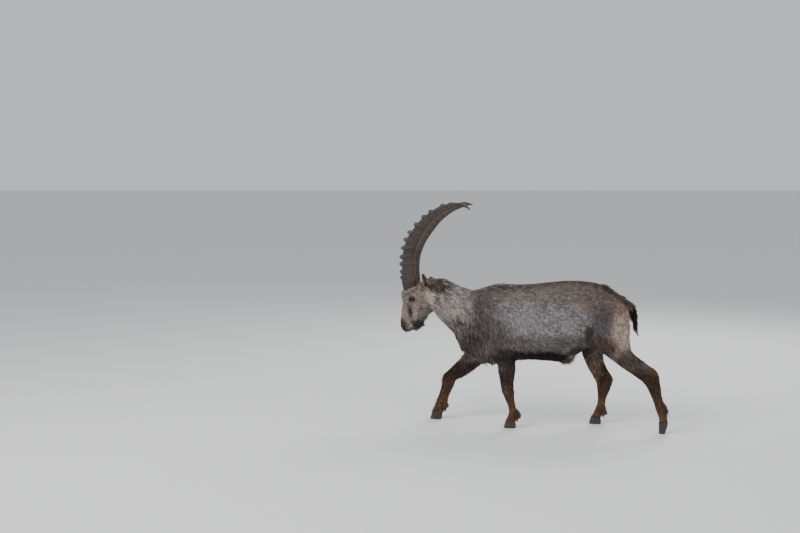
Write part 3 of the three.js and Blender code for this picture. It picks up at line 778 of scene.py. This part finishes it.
def hairMaterial(name, roughness):
    material, shader = newMaterial(name)
    light = addRange(material, addNoise(material, objectPlace(material), 420, 3), 0.72, 1.28)
    setSockets(shader, {
        "Base Color": addTint(material, "coatHue", light), "Roughness": roughness,
        "Specular IOR Level": 0.12, "Sheen Weight": 0.05, "Sheen Roughness": 0.5,
    })
    return material, shader


# The skin between the tufts: fine strands that run the way the hair lies
def skinMaterial():
    material, shader = hairMaterial("coatSkin", 0.85)
    place = objectPlace(material)
    comb = addNode(material, "Attribute", "Vector", attribute_name="combed")
    along = addNode(material, "VectorMath", "Value", {0: place, 1: comb}, operation="DOT_PRODUCT")
    share = addNode(material, "Math", "Value", {0: along, 1: 0.9}, operation="MULTIPLY")
    back = addNode(material, "VectorMath", "Vector", {0: comb, "Scale": share}, operation="SCALE")
    drawnOut = addNode(material, "VectorMath", "Vector", {0: place, 1: back}, operation="SUBTRACT")
    strands = addNoise(material, drawnOut, 520, 4)
    setSockets(shader, {"Normal": addBump(material, strands, 0.8, 0.0012)})
    return material


def regionShares(points):
    x, y, z = points.T
    head = faceWeight(points) * smoothStep(-0.585, -0.625, x)
    ears = np.zeros(len(points))
    for word in sides:
        low, high = (np.array(corner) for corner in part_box("ear_" + word))
        ears = np.maximum(ears, np.all((points > low - 0.002) & (points < high + 0.002), axis=1))
    ears = ears * (z > 0.835)
    legs = smoothStep(0.46, 0.38, z) * (1 - head)
    legs = legs * (1 - smoothStep(0.33, 0.37, z) * (np.abs(y) < 0.03))
    breast = np.exp(-(((x + 0.39) / 0.085) ** 2 + ((z - 0.53) / 0.11) ** 2)) * (1 - head) * (1 - legs)
    neck = smoothStep(-0.30, -0.40, x) * (1 - head) * (1 - breast)
    body = (1 - head) * (1 - legs) * (1 - breast) * (1 - neck)
    face = head * (1 - ears)
    return {"body": body, "neck": neck, "breast": breast, "legs": legs, "face": face, "ears": ears}


# Where no tuft grows: eyes, nostrils, end of the nose, under the horns
def bareSpots(points):
    bare = np.zeros(len(points))
    for side in sides.values():
        for place, reach in bareRounds:
            away = np.linalg.norm((points - sidePoint(place, side)) * 1000 / reach, axis=1)
            bare = np.maximum(bare, away < 1)
    tree = treeOf("horn_left", "horn_right")
    for k in np.where(isHead(points, (-0.64, 0.80)))[0]:
        spot, normal, _, away = tree.find_nearest(Vector(points[k]))
        inside = (Vector(points[k]) - spot).dot(normal) < 0
        if away < 0.003 or inside:
            bare[k] = 1
    return bare


def addCoat(region, density, draw):
    length, width, lift, count = coatTufts[region]
    picked, mix = pickRoots(density, count, draw)
    roots, out, way = ((values[skinCorners[picked]] * mix).sum(1) for values in (coords, normals, lie))
    out = unit(out)
    way = turned(way, out, (noiseAt(roots, 34, 7) - 0.5) * 0.9 + draw.normal(0, 0.13, count))
    long = length * (0.75 + 0.5 * draw.random(count)) * (0.8 + 0.4 * noiseAt(roots, 75, 8))
    wide = width * (0.75 + 0.5 * draw.random(count))
    raised = lift * (0.55 + 0.9 * draw.random(count))
    if region == "face":
        muzzle = smoothStep(0.68, 0.60, roots[:, 2]) * smoothStep(-0.72, -0.77, roots[:, 0])
        rear = smoothStep(-0.70, -0.63, roots[:, 0])
        long = long * (1 - 0.45 * muzzle + 1.1 * rear)
        wide = wide * (1 + 0.6 * rear)
    if region == "legs":
        low = smoothStep(0.30, 0.08, roots[:, 2])
        long, wide = long * (1.35 - 0.75 * low), wide * (1.2 - 0.35 * low)
    hue = coatHue(roots) * (0.5 + 1.04 * draw.random(count))[:, None]
    pale = draw.random(count) < coatTufts["pale"]
    hue[pale] = hue[pale] * 1.35 + 0.03
    addTufts(region + "Coat", "coat", {
        "roots": roots, "flat": (skinFlat[picked] * mix).sum(1), "normals": out, "ways": way,
        "lengths": long, "widths": wide, "lifts": raised, "hues": hue,
    })
    print(region, count, "tufts")


unwrapSkin(skin)
print("skin unwrapped")
coords, normals = coordsOf(skin), normalsOf(skin)
lie = combed(coords, normals, edgesOf(skin))
layer = skin.data.attributes.new("combed", "FLOAT_VECTOR", "POINT")
layer.data.foreach_set("vector", lie.astype(np.float32).ravel())
# The skin under the tufts is painted at 0.8 of the coat's hue: painted shade between the hairs
writeHue(skin, coatHue(coords) * 0.8, "coatHue")
finishPiece(skin, skinMaterial(), "coat", *fleshNodes, "ear_left", "ear_right")
print("skin coloured")
coatHair = hairMaterial("coatHair", 0.78)[0]
skinCorners, skinFlat = trianglesOf(skin)
bare = bareSpots(coords)
draw = np.random.default_rng(coatTufts["seed"])
for region, share in regionShares(coords).items():
    addCoat(region, share * (1 - bare), draw)


# Horns: front X, Z, rear X, Z, half width and distance from the middle, in the head's millimetres
hornShape = {
    "rows": [
        (-780, 790, -712, 816, 27, 34), (-798, 855, -707, 867, 32, 37),
        (-796, 912, -711, 911, 31.5, 42), (-795, 958, -715, 961, 31, 49),
        (-790, 1004, -712, 1012, 30.5, 58), (-780, 1060, -701, 1058, 30, 70),
        (-752, 1134, -680, 1111, 28.5, 86), (-708, 1195, -644, 1167, 27, 99),
        (-662, 1248, -610, 1214, 25, 108), (-614, 1287, -576, 1249, 22.5, 114),
        (-553, 1325, -531, 1284, 20, 118), (-504, 1343, -494, 1304, 17, 119),
        (-449, 1352, -442, 1323, 13.5, 118), (-406, 1347, -404, 1327, 9, 115),
        (-375, 1331, -379, 1319, 4.5, 112), (-355, 1309, -358, 1307, 1.2, 110),
    ],
    "length": 760,
    "root": 66,
    "worn": 0.945,  # the far horn is shorter, and blunt near its tip
    "wornTip": 60,
    "knob": 19,
    "firstKnob": 35,
    "knobGaps": [33, 49, 43, 57, 53, 52, 60, 65, 53, 78, 50],
    "knobProfile": [(-15, 0), (-11, 0.55), (-6, 0.95), (0, 1.04), (6, 1), (11, 0.75), (15, 0.2), (18, 0)],
    "points": 44,
    "steps": 560,
    "side": (66, 46, 30),
    "inner": (84, 75, 68),
    "front": (43, 41, 42),
    "rear": (78, 68, 58),
    # Paler crests of the knobs: wear, with a painted highlight
    "crest": (120, 114, 108),
    # Hue laid into the growth grooves and fine lines: painted shade in the grooves
    "groove": (18, 13, 11),
    "ring": 12.5,
    "tip": (44, 38, 34),
    "burr": (30, 26, 25),
}


# A smooth curve through the rows, with the middle tension that the solids have
def alongRows(rows, count=2400):
    rows = np.asarray(rows, float)
    padded = np.vstack([2 * rows[0] - rows[1], rows, 2 * rows[-1] - rows[-2]])
    t = np.linspace(0, len(rows) - 1, count)
    k = np.minimum(t.astype(int), len(rows) - 2)
    u = (t - k)[:, None]
    before, start, end, after = (padded[k + j] for j in range(4))
    slopeIn, slopeOut = (end - before) / 2, (after - start) / 2
    rise = (2 * u**3 - 3 * u**2 + 1) * start + (u**3 - 2 * u**2 + u) * slopeIn
    return rise + (3 * u**2 - 2 * u**3) * end + (u**3 - u**2) * slopeOut


# How tall the knobs stand at s along the front, from 0 to 1: lower near the root and the tip
def knobRise(s):
    shape, at = [(-60, 0)], hornShape["firstKnob"]
    gaps = hornShape["knobGaps"]
    for k in range(len(gaps) + 1):
        tall = min(1, 0.55 + 0.15 * k) * (1 if k < 7 else 1 - 0.15 * (k - 6))
        shape += [(at + along, high * tall) for along, high in hornShape["knobProfile"]]
        at += gaps[min(k, len(gaps) - 1)]
    rise = np.interp(s, *zip(*shape))
    return np.convolve(np.pad(rise, 1, mode="edge"), [0.25, 0.5, 0.25], "valid")


def hornMaterial():
    material, shader = newMaterial("hornKeratin")
    sheet = addNode(material, "UVMap", "UV", uv_map="hornSheet")
    spots = addNode(material, "Mapping", "Vector", {"Vector": sheet, "Scale": (18, 260, 1)})
    rings = addNoise(material, spots, 1, 5)
    light = addRange(material, rings, 0.6, 1.35, 0.25, 0.75)
    setSockets(shader, {
        "Base Color": addTint(material, "hornHue", light),
        "Normal": addBump(material, rings, 0.7, 0.0012),
        "Roughness": addRange(material, rings, 0.42, 0.66),
    })
    return material


# Noise that runs along a horn and round it
def hornNoise(along, c, q, scale, seed):
    return noiseAt(np.stack([along, c, q], 1), scale, seed)


# Points and hues of a horn at s along it, where c is the front and q the side
def hornForm(s, c, q, side):
    length, root = hornShape["length"], hornShape["root"]
    rows = alongRows(hornShape["rows"])
    run = np.append(0, np.cumsum(np.linalg.norm(np.diff(rows[:, [0, 1, 5]], axis=0), axis=1)))
    worn = hornShape["worn"] if side > 0 else 1
    at = (s + root) / (length + root) * worn * run[-1]
    row = np.stack([np.interp(at, run, rows[:, k]) for k in range(6)], 1)
    centre, half = (row[:, :2] + row[:, 2:4]) / 2, (row[:, :2] - row[:, 2:4]) / 2
    reach = np.linalg.norm(half, axis=1)
    ahead = half / reach[:, None]
    blunt = np.minimum(1, 0.1 + (length - s) / hornShape["wornTip"]) if side > 0 else 1
    rise = knobRise(s)
    lineUp = s + 2.5 * np.sin(3 * q + 0.05 * s)  # growth lines waver a little round the horn
    lines = hornNoise(lineUp, 0 * s, 0 * s, 0.19, 3) + 0.5 * hornNoise(lineUp, 0 * s, 0 * s, 0.47, 4)
    groove = smoothStep(0.62, 0.30, lines) * (1 - smoothStep(560, 740, s))
    turn = lineUp * 2 * math.pi / hornShape["ring"] + 5 * hornNoise(lineUp, 0 * s, 0 * s, 0.03, 6)
    fine = smoothStep(0.0, 0.8, np.sin(turn)) * (0.35 + 0.65 * hornNoise(lineUp * 0.1, 2 * c, 2 * q, 1, 5))
    fine = fine * (1 - smoothStep(520, 720, s))
    rough = (hornNoise(s * 0.12, 3 * c, 3 * q, 1, 9) - 0.5) * 2.2
    front = smoothStep(0.1, 0.7, c)
    deep = reach * blunt * np.sign(c) * np.abs(c) ** np.where(c > 0, 0.5, 0.95)
    deep += hornShape["knob"] * rise * front * (1 + 0.1 * rough)
    deep += front * rough * 0.8 * blunt - (1.3 * groove + 0.7 * fine) * c * blunt
    wide = row[:, 4] * blunt * np.sign(q) * np.abs(q) ** 0.8 * (1 + 0.12 * c) * (1 + 0.1 * rise)
    wide = wide * (1 + 0.018 * rise - 0.030 * groove - 0.022 * fine) * 0.992
    x, z = centre[:, 0] + ahead[:, 0] * deep, centre[:, 1] + ahead[:, 1] * deep
    hue = np.tile(fromScreen(hornShape["side"]), (len(s), 1))
    for name, share in (
        ("inner", 0.7 * smoothStep(0.1, 0.6, -side * q)),
        ("front", 0.92 * smoothStep(-0.02, 0.22, c + 0.1 * rough)),
        ("rear", 0.5 * smoothStep(0.3, -0.8, c)),
        # Painted shade darkening the growth grooves and the fine lines
        ("groove", 0.75 * groove),
        ("groove", 0.85 * fine * (1 - 0.7 * front)),
        # Paler knob crests: wear, with a painted highlight
        ("crest", 0.45 * smoothStep(0.55, 0.95, rise) * front * (0.6 + 0.4 * rough)),
        ("tip", 0.8 * smoothStep(600, 760, s)),
        ("burr", 0.9 * smoothStep(9, 1, s) * (0.7 + 0.3 * np.sin(1.3 * s))),
    ):
        hue = layOver(hue, hornShape[name], share)
    hue = hue * (1 + 0.25 * (hornNoise(s * 0.05, 4 * c, 4 * q, 1, 12) - 0.5))[:, None]
    return headPoint(x, side * row[:, 5] + wide, z), hue


def addHorn(word, material):
    points, steps = hornShape["points"], hornShape["steps"]
    bpy.ops.mesh.primitive_grid_add(x_subdivisions=points, y_subdivisions=steps, size=2)
    piece = named(word + "Horn")
    grid = coordsOf(piece)
    angle, share = grid[:, 0] * math.pi, (grid[:, 1] + 1) / 2
    s = share * (hornShape["length"] + hornShape["root"] - 0.5) - hornShape["root"]
    shape, hue = hornForm(s, np.cos(angle), np.sin(angle), sides[word])
    moveTo(piece, shape)
    writeHue(piece, hue, "hornHue")
    sheet = piece.data.uv_layers.active or piece.data.uv_layers.new()
    sheet.name = "hornSheet"
    editMesh(piece)
    bpy.ops.mesh.remove_doubles(threshold=2e-6)
    bpy.ops.mesh.select_all(action="SELECT")
    bpy.ops.mesh.fill_holes(sides=0)
    bpy.ops.mesh.select_all(action="SELECT")
    bpy.ops.mesh.normals_make_consistent(inside=False)
    shadeSmooth(piece)
    finishPiece(piece, material, "horn", "horn_" + word)
    return piece


keratin = hornMaterial()
for word in sides:
    horn = addHorn(word, keratin)
print("horns", len(horn.data.polygons), "faces each")


# Eyes: a wet ball with a dark amber iris, a level pupil and the bare rim of the lids
eyeShape = {
    "at": (-728, 52, 761),
    "radius": 15.6,
    "gaze": (-0.34, 0.93, -0.06),
    "iris": (9.5, 9.5),
    "pupil": (6.2, 2.2),
    "white": (40, 29, 23),
    "amber": (66, 40, 20),
    "streak": (48, 27, 13),
    "dark": (12, 9, 8),
    "opening": (17.6, 10.9),
    "lids": (26, 19.8, 21),
    "rimRadius": 2.1,
}


def eyeMaterial(word):
    side = sides[word]
    material, shader = newMaterial(word + "EyeWet")
    gaze = sideWay(eyeShape["gaze"], side)
    level = np.cross(gaze, [0, 0, 1])
    level /= np.linalg.norm(level)
    upright = np.cross(level, gaze)
    moved = addNode(material, "Mapping", "Vector", {
        "Vector": objectPlace(material), "Scale": (1000, 1000, 1000),
        "Location": -sidePoint(eyeShape["at"], side) * 1000,
    })

    def rounded(axis, size):
        along = addNode(material, "VectorMath", "Value", {0: moved, 1: axis / size}, operation="DOT_PRODUCT")
        far = addNode(material, "Math", "Value", {0: along}, operation="ABSOLUTE")
        return addNode(material, "Math", "Value", {0: far, 1: 2.6}, operation="POWER")

    def roundMask(sizes, soft):
        wide, high = rounded(level, sizes[0]), rounded(upright, sizes[1])
        away = addNode(material, "Math", "Value", {0: wide, 1: high}, operation="ADD")
        return addRange(material, away, 1, 0, 1 - soft, 1 + soft)

    def blended(factor, first, second):
        hues = ((*fromScreen(one), 1) if isinstance(one, tuple) else one for one in (first, second))
        sockets = dict(zip((0, 6, 7), (factor, *hues)))  # the mix node's colour sockets are its 6 and 7
        return addNode(material, "Mix", 2, sockets, data_type="RGBA")

    iris = blended(addNoise(material, moved, 0.9, 4), eyeShape["streak"], eyeShape["amber"])
    ball = blended(roundMask(eyeShape["iris"], 0.12), eyeShape["white"], iris)
    ball = blended(roundMask(eyeShape["pupil"], 0.2), ball, eyeShape["dark"])
    setSockets(shader, {
        "Base Color": ball, "Roughness": 0.12, "Specular IOR Level": 0.2,
        "Coat Weight": 0.32, "Coat Roughness": 0.03,
    })
    return material


def rimMaterial():
    material, shader = newMaterial("lidSkin")
    folds = addNoise(material, objectPlace(material), 900)
    hue = addRamp(material, folds, (0, (18, 14, 13)), (1, (46, 37, 33)))
    setSockets(shader, {"Base Color": hue, "Normal": addBump(material, folds, 1, 0.0003), "Roughness": 0.35})
    return material


def addBall(word):
    side, radius = sides[word], eyeShape["radius"] / 1000
    centre, gaze = sidePoint(eyeShape["at"], side), sideWay(eyeShape["gaze"], side)
    bpy.ops.mesh.primitive_uv_sphere_add(segments=64, ring_count=40, radius=radius, location=centre)
    ball = named(word + "Eye")
    bpy.ops.object.transform_apply(location=True, rotation=True, scale=True)
    coords = coordsOf(ball)
    bulge = smoothStep(0.74, 1.0, (coords - centre) @ gaze / radius) * 0.0011
    moveTo(ball, coords + gaze * bulge[:, None])
    shadeSmooth(ball)
    finishPiece(ball, eyeMaterial(word), "eye", "eye_" + word)


# The rim follows the opening between the lids, over the lids' own bulge
def addRim(word, lidSkin):
    x, y, z = eyeShape["at"]
    bpy.ops.mesh.primitive_torus_add(major_segments=96, minor_segments=12, major_radius=1, minor_radius=0.1)
    rim = named(word + "LidRim")
    coords = coordsOf(rim)
    outward, up = np.hypot(coords[:, 0], coords[:, 1]) - 1, coords[:, 2]
    turn = np.arctan2(coords[:, 1], coords[:, 0])
    c, q = np.cos(turn), np.sin(turn)
    wide, high = eyeShape["opening"]
    ringX = wide * c * (1 + 0.10 * c**8 * (c < 0))  # a little longer at the inner corner
    ringZ = high * q - 1.6 * c**2 * (c < 0)
    a, b, d = eyeShape["lids"]
    bulge = b * np.sqrt(np.clip(1 - (ringX / a) ** 2 - (ringZ / d) ** 2, 0.05, 1))
    thick = eyeShape["rimRadius"] * 10 * (1 + 0.25 * (q > 0))
    across = sides[word] * (y + bulge + up * thick)
    moveTo(rim, headPoint(x + ringX + outward * thick * c, across, z + ringZ + outward * thick * q))
    editMesh(rim)
    bpy.ops.mesh.normals_make_consistent(inside=False)
    shadeSmooth(rim)
    finishPiece(rim, lidSkin, "eye")


lidSkin = rimMaterial()
for word in sides:
    addBall(word)
    addRim(word, lidSkin)
print("eyes")


# Longer hair: rows of locks. How many, spread across, length, width, lift, droop and wave, then the row's
# places on the side view, X and Z in metres, and its hues
lockRows = {
    "nape": (
        (1300, 0.075, 0.044, 0.0056, 0.16, 0.30, 0.09),
        [(-0.632, 0.862), (-0.600, 0.872), (-0.560, 0.862), (-0.525, 0.845)],
        [(50, 38, 31), (78, 62, 51), (190, 176, 162)],
    ),
    "mane": (
        (1300, 0.095, 0.052, 0.0056, 0.13, 0.22, 0.09),
        [(-0.560, 0.862), (-0.515, 0.848), (-0.46, 0.835), (-0.40, 0.84)],
        [(96, 84, 78), (196, 192, 192), (140, 130, 124)],
    ),
    "withers": (
        (800, 0.05, 0.036, 0.0050, 0.12, 0.15, 0.05),
        [(-0.40, 0.845), (-0.30, 0.85), (-0.15, 0.87), (0.05, 0.88)],
        [(120, 108, 102), (170, 162, 156), (86, 76, 72)],
    ),
    "rump": (
        (800, 0.055, 0.036, 0.0046, 0.34, 0.10, 0.05),
        [(0.40, 0.86), (0.50, 0.81), (0.555, 0.775), (0.585, 0.755)],
        [(60, 45, 37), (96, 76, 63), (42, 32, 27)],
    ),
    "breast": (
        (1100, 0.08, 0.044, 0.0056, 0.17, 0.25, 0.08),
        [(-0.45, 0.60), (-0.44, 0.55), (-0.42, 0.50), (-0.37, 0.46)],
        [(78, 68, 65), (116, 106, 102), (56, 47, 44)],
    ),
    "belly": (
        (1500, 0.11, 0.030, 0.0044, 0.08, 0.10, 0.05),
        [(-0.16, 0.42), (0.00, 0.42), (0.12, 0.42), (0.22, 0.43), (0.30, 0.47)],
        [(20, 15, 12), (34, 26, 22), (58, 49, 44)],
    ),
    "sheath": (
        (480, 0.03, 0.030, 0.0040, 0.18, 0.5, 0.08),
        [(0.16, 0.40), (0.20, 0.395), (0.25, 0.41)],
        [(150, 144, 134), (110, 98, 90), (172, 166, 156)],
    ),
    "beard": (
        (600, 0.024, 0.016, 0.0030, 0.20, 0.30, 0.08),
        [(-0.742, 0.585), (-0.722, 0.585), (-0.700, 0.600), (-0.680, 0.622)],
        [(46, 34, 29), (62, 47, 40), (84, 66, 56)],
    ),
    "throat": (
        (700, 0.05, 0.028, 0.0046, 0.12, 0.10, 0.09),
        [(-0.62, 0.665), (-0.57, 0.64), (-0.52, 0.615), (-0.47, 0.58)],
        [(128, 116, 106), (96, 84, 76), (164, 150, 138)],
    ),
    "thigh": (
        (900, 0.11, 0.026, 0.0042, 0.16, 0.10, 0.05),
        [(0.590, 0.72), (0.585, 0.64), (0.575, 0.56), (0.60, 0.50)],
        [(196, 172, 152), (160, 136, 118), (214, 198, 180)],
    ),
    "tail": (
        (1900, 0.030, 0.036, 0.0046, 0.22, 0.02, 0.06),
        [(0.575, 0.775), (0.598, 0.745), (0.612, 0.70), (0.616, 0.665), (0.618, 0.622)],
        [(26, 20, 18), (38, 29, 25), (74, 54, 42)],
    ),
}
lockHues = {"shares": (0.5, 0.34, 0.16), "own": 0.6, "coat": 0.4}
tailLocks = {"scatter": 0.016, "hang": (0.16, 0, -0.98), "paleBelow": 0.665, "shortBelow": 0.625}

# Longer hair behind each fetlock, over the roots of its dewclaws
for word in legWords:
    first, second = word.split("_")
    low, high = (sum((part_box(f"dewclaw_{word}_{n}")[k] for n in (1, 2)), Vector()) / 2 for k in (0, 1))
    x, y, z = (low + high) / 2
    lockRows[first + second.title() + "Fetlock"] = (
        (260, 0.034, 0.026, 0.0034, 0.34, 0.15, 0.06),
        [(x - 0.016, z + 0.040, y), (x - 0.014, z + 0.012, y), (x - 0.012, z, y)],
        [(70, 50, 37), (96, 72, 54), (48, 35, 27)],
    )


# Roots on the skin's faces, the nearest ones to places scattered along the row's path
def lockRoots(path, count, spreadAcross, scatter, draw):
    share = np.linspace(0, len(path) - 1.001, count)
    k = share.astype(int)
    spot = path[k] + (path[k + 1] - path[k]) * (share - k)[:, None]
    middle = path[0, 2] if path.shape[1] > 2 else 0  # a third number is the row's distance across
    across = middle + draw.normal(0, spreadAcross * 0.5, count)
    probe = np.stack([spot[:, 0], across, spot[:, 1]], 1)
    probe[:, 0] += draw.normal(0, 0.008, count)
    probe[:, 2] += draw.normal(0, 0.008, count)
    if scatter:
        probe[:, 0] += draw.normal(0, scatter, count)
    found = [skinTree.find_nearest(Vector(point)) for point in probe]
    found = [(np.array(place), face) for place, _, face, away in found if away < 0.06]
    return np.array([place for place, _ in found]), np.array([face for _, face in found])


def addLocks(name, row, draw):
    isTail = name == "tail"
    (count, spreadAcross, length, width, lift, droop, wave), path, hues = row
    roots, faces = lockRoots(np.array(path), count, spreadAcross, tailLocks["scatter"] if isTail else 0, draw)
    point, count = lead[faces], len(roots)
    out, way = normals[point], lie[point]
    if isTail:
        way = np.tile(tailLocks["hang"], (count, 1))
        way = unit(way - out * (way * out).sum(1)[:, None] * 0.9)
    way = turned(way, out, (noiseAt(roots, 40, 17) - 0.5) * 1.1 + draw.normal(0, 0.16, count))
    long = length * (0.6 + 0.8 * draw.random(count)) * (0.75 + 0.5 * noiseAt(roots, 50, 18))
    wide = width * (0.7 + 0.6 * draw.random(count))
    raised = lift * (0.4 + 1.2 * draw.random(count))
    hue = fromScreen(hues)[draw.choice(3, count, p=lockHues["shares"])]
    hue = lockHues["own"] * hue + lockHues["coat"] * coatHue(roots)
    hue = hue * (0.8 + 0.4 * draw.random(count))[:, None]
    if isTail:
        hue[roots[:, 2] < tailLocks["paleBelow"]] *= 1.6
        long[roots[:, 2] < tailLocks["shortBelow"]] *= 0.6
    tufts = {
        "roots": roots, "flat": flatOf[point], "normals": out, "ways": way,
        "lengths": long, "widths": wide, "lifts": raised, "hues": hue,
    }
    wave = wave * draw.normal(0, 1, count)
    addTufts(name + "Locks", "tail_coat" if isTail else "coat", tufts, 4, droop, wave)
    print(name, count, "locks")


skinFaces = [tuple(face.vertices) for face in skin.data.polygons]
skinTree = BVHTree.FromPolygons([Vector(c) for c in coords], skinFaces)
lead = np.array([face[0] for face in skinFaces])
flatOf = np.zeros((len(coords), 2))
flatOf[skinCorners.ravel()] = skinFlat.reshape(-1, 2)
for name, row in lockRows.items():
    addLocks(name, row, draw)


# Hooves and dewclaws: the solids' shapes, rounded, with worn grey horn
hoofShape = {
    "voxel": 0.0019,
    "smoothing": 5,
    "sole": (0.006, 0.002, 0.0002),  # heights where the flat sole starts, is full, and lies
    "dewclawHalf": 0.009,
    "drawnIn": 0.75,  # how far a dewclaw's base goes to the skin
    "dark": (30, 26, 24),
    "pale": (70, 62, 56),
}


def hoofMaterial():
    material, shader = newMaterial("hoofHorn")
    place = objectPlace(material)
    level = addNode(material, "Mapping", "Vector", {"Vector": place, "Scale": (26, 26, 210)})
    rings, grit = addNoise(material, level, 1, 4), addNoise(material, place, 260, 5)
    both = addNode(material, "Math", "Value", {0: rings, 1: grit}, operation="MULTIPLY")
    setSockets(shader, {
        "Base Color": addRamp(material, both, (0.12, hoofShape["dark"]), (0.42, hoofShape["pale"])),
        "Normal": addBump(material, both, 0.6, 0.0008), "Roughness": 0.55,
    })
    return material


def addHoof(name, material):
    piece = copyOfNodes([name], name.replace("_", "") + "Wall")
    applyModifier(piece, "REMESH", mode="VOXEL", voxel_size=hoofShape["voxel"])
    shape = spread(coordsOf(piece), edgesOf(piece), hoofShape["smoothing"])
    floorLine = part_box(name)[0].z
    start, full, lies = hoofShape["sole"]
    low = smoothStep(floorLine + start, floorLine + full, shape[:, 2])
    shape[:, 2] = np.maximum(shape[:, 2] * (1 - low) + (floorLine + lies) * low, floorLine)
    if name.startswith("dewclaw"):
        middle = shape.mean(0)
        root = np.array(skinTree.find_nearest(Vector(middle))[0]) - middle
        inward = (shape - middle) @ root / np.linalg.norm(root) / hoofShape["dewclawHalf"]
        shape += root * (smoothStep(-0.6, 1, inward) * hoofShape["drawnIn"])[:, None]
        shape[:, 2] -= 0.003 * smoothStep(0.2, -1, inward)
    moveTo(piece, shape)
    shadeSmooth(piece)
    dropMaterials(piece)
    finishPiece(piece, material, "hoof", name)


hoofHorn = hoofMaterial()
for name in sorted(nodes):
    if name.startswith(("hoof", "dewclaw")):
        addHoof(name, hoofHorn)
print("hooves")
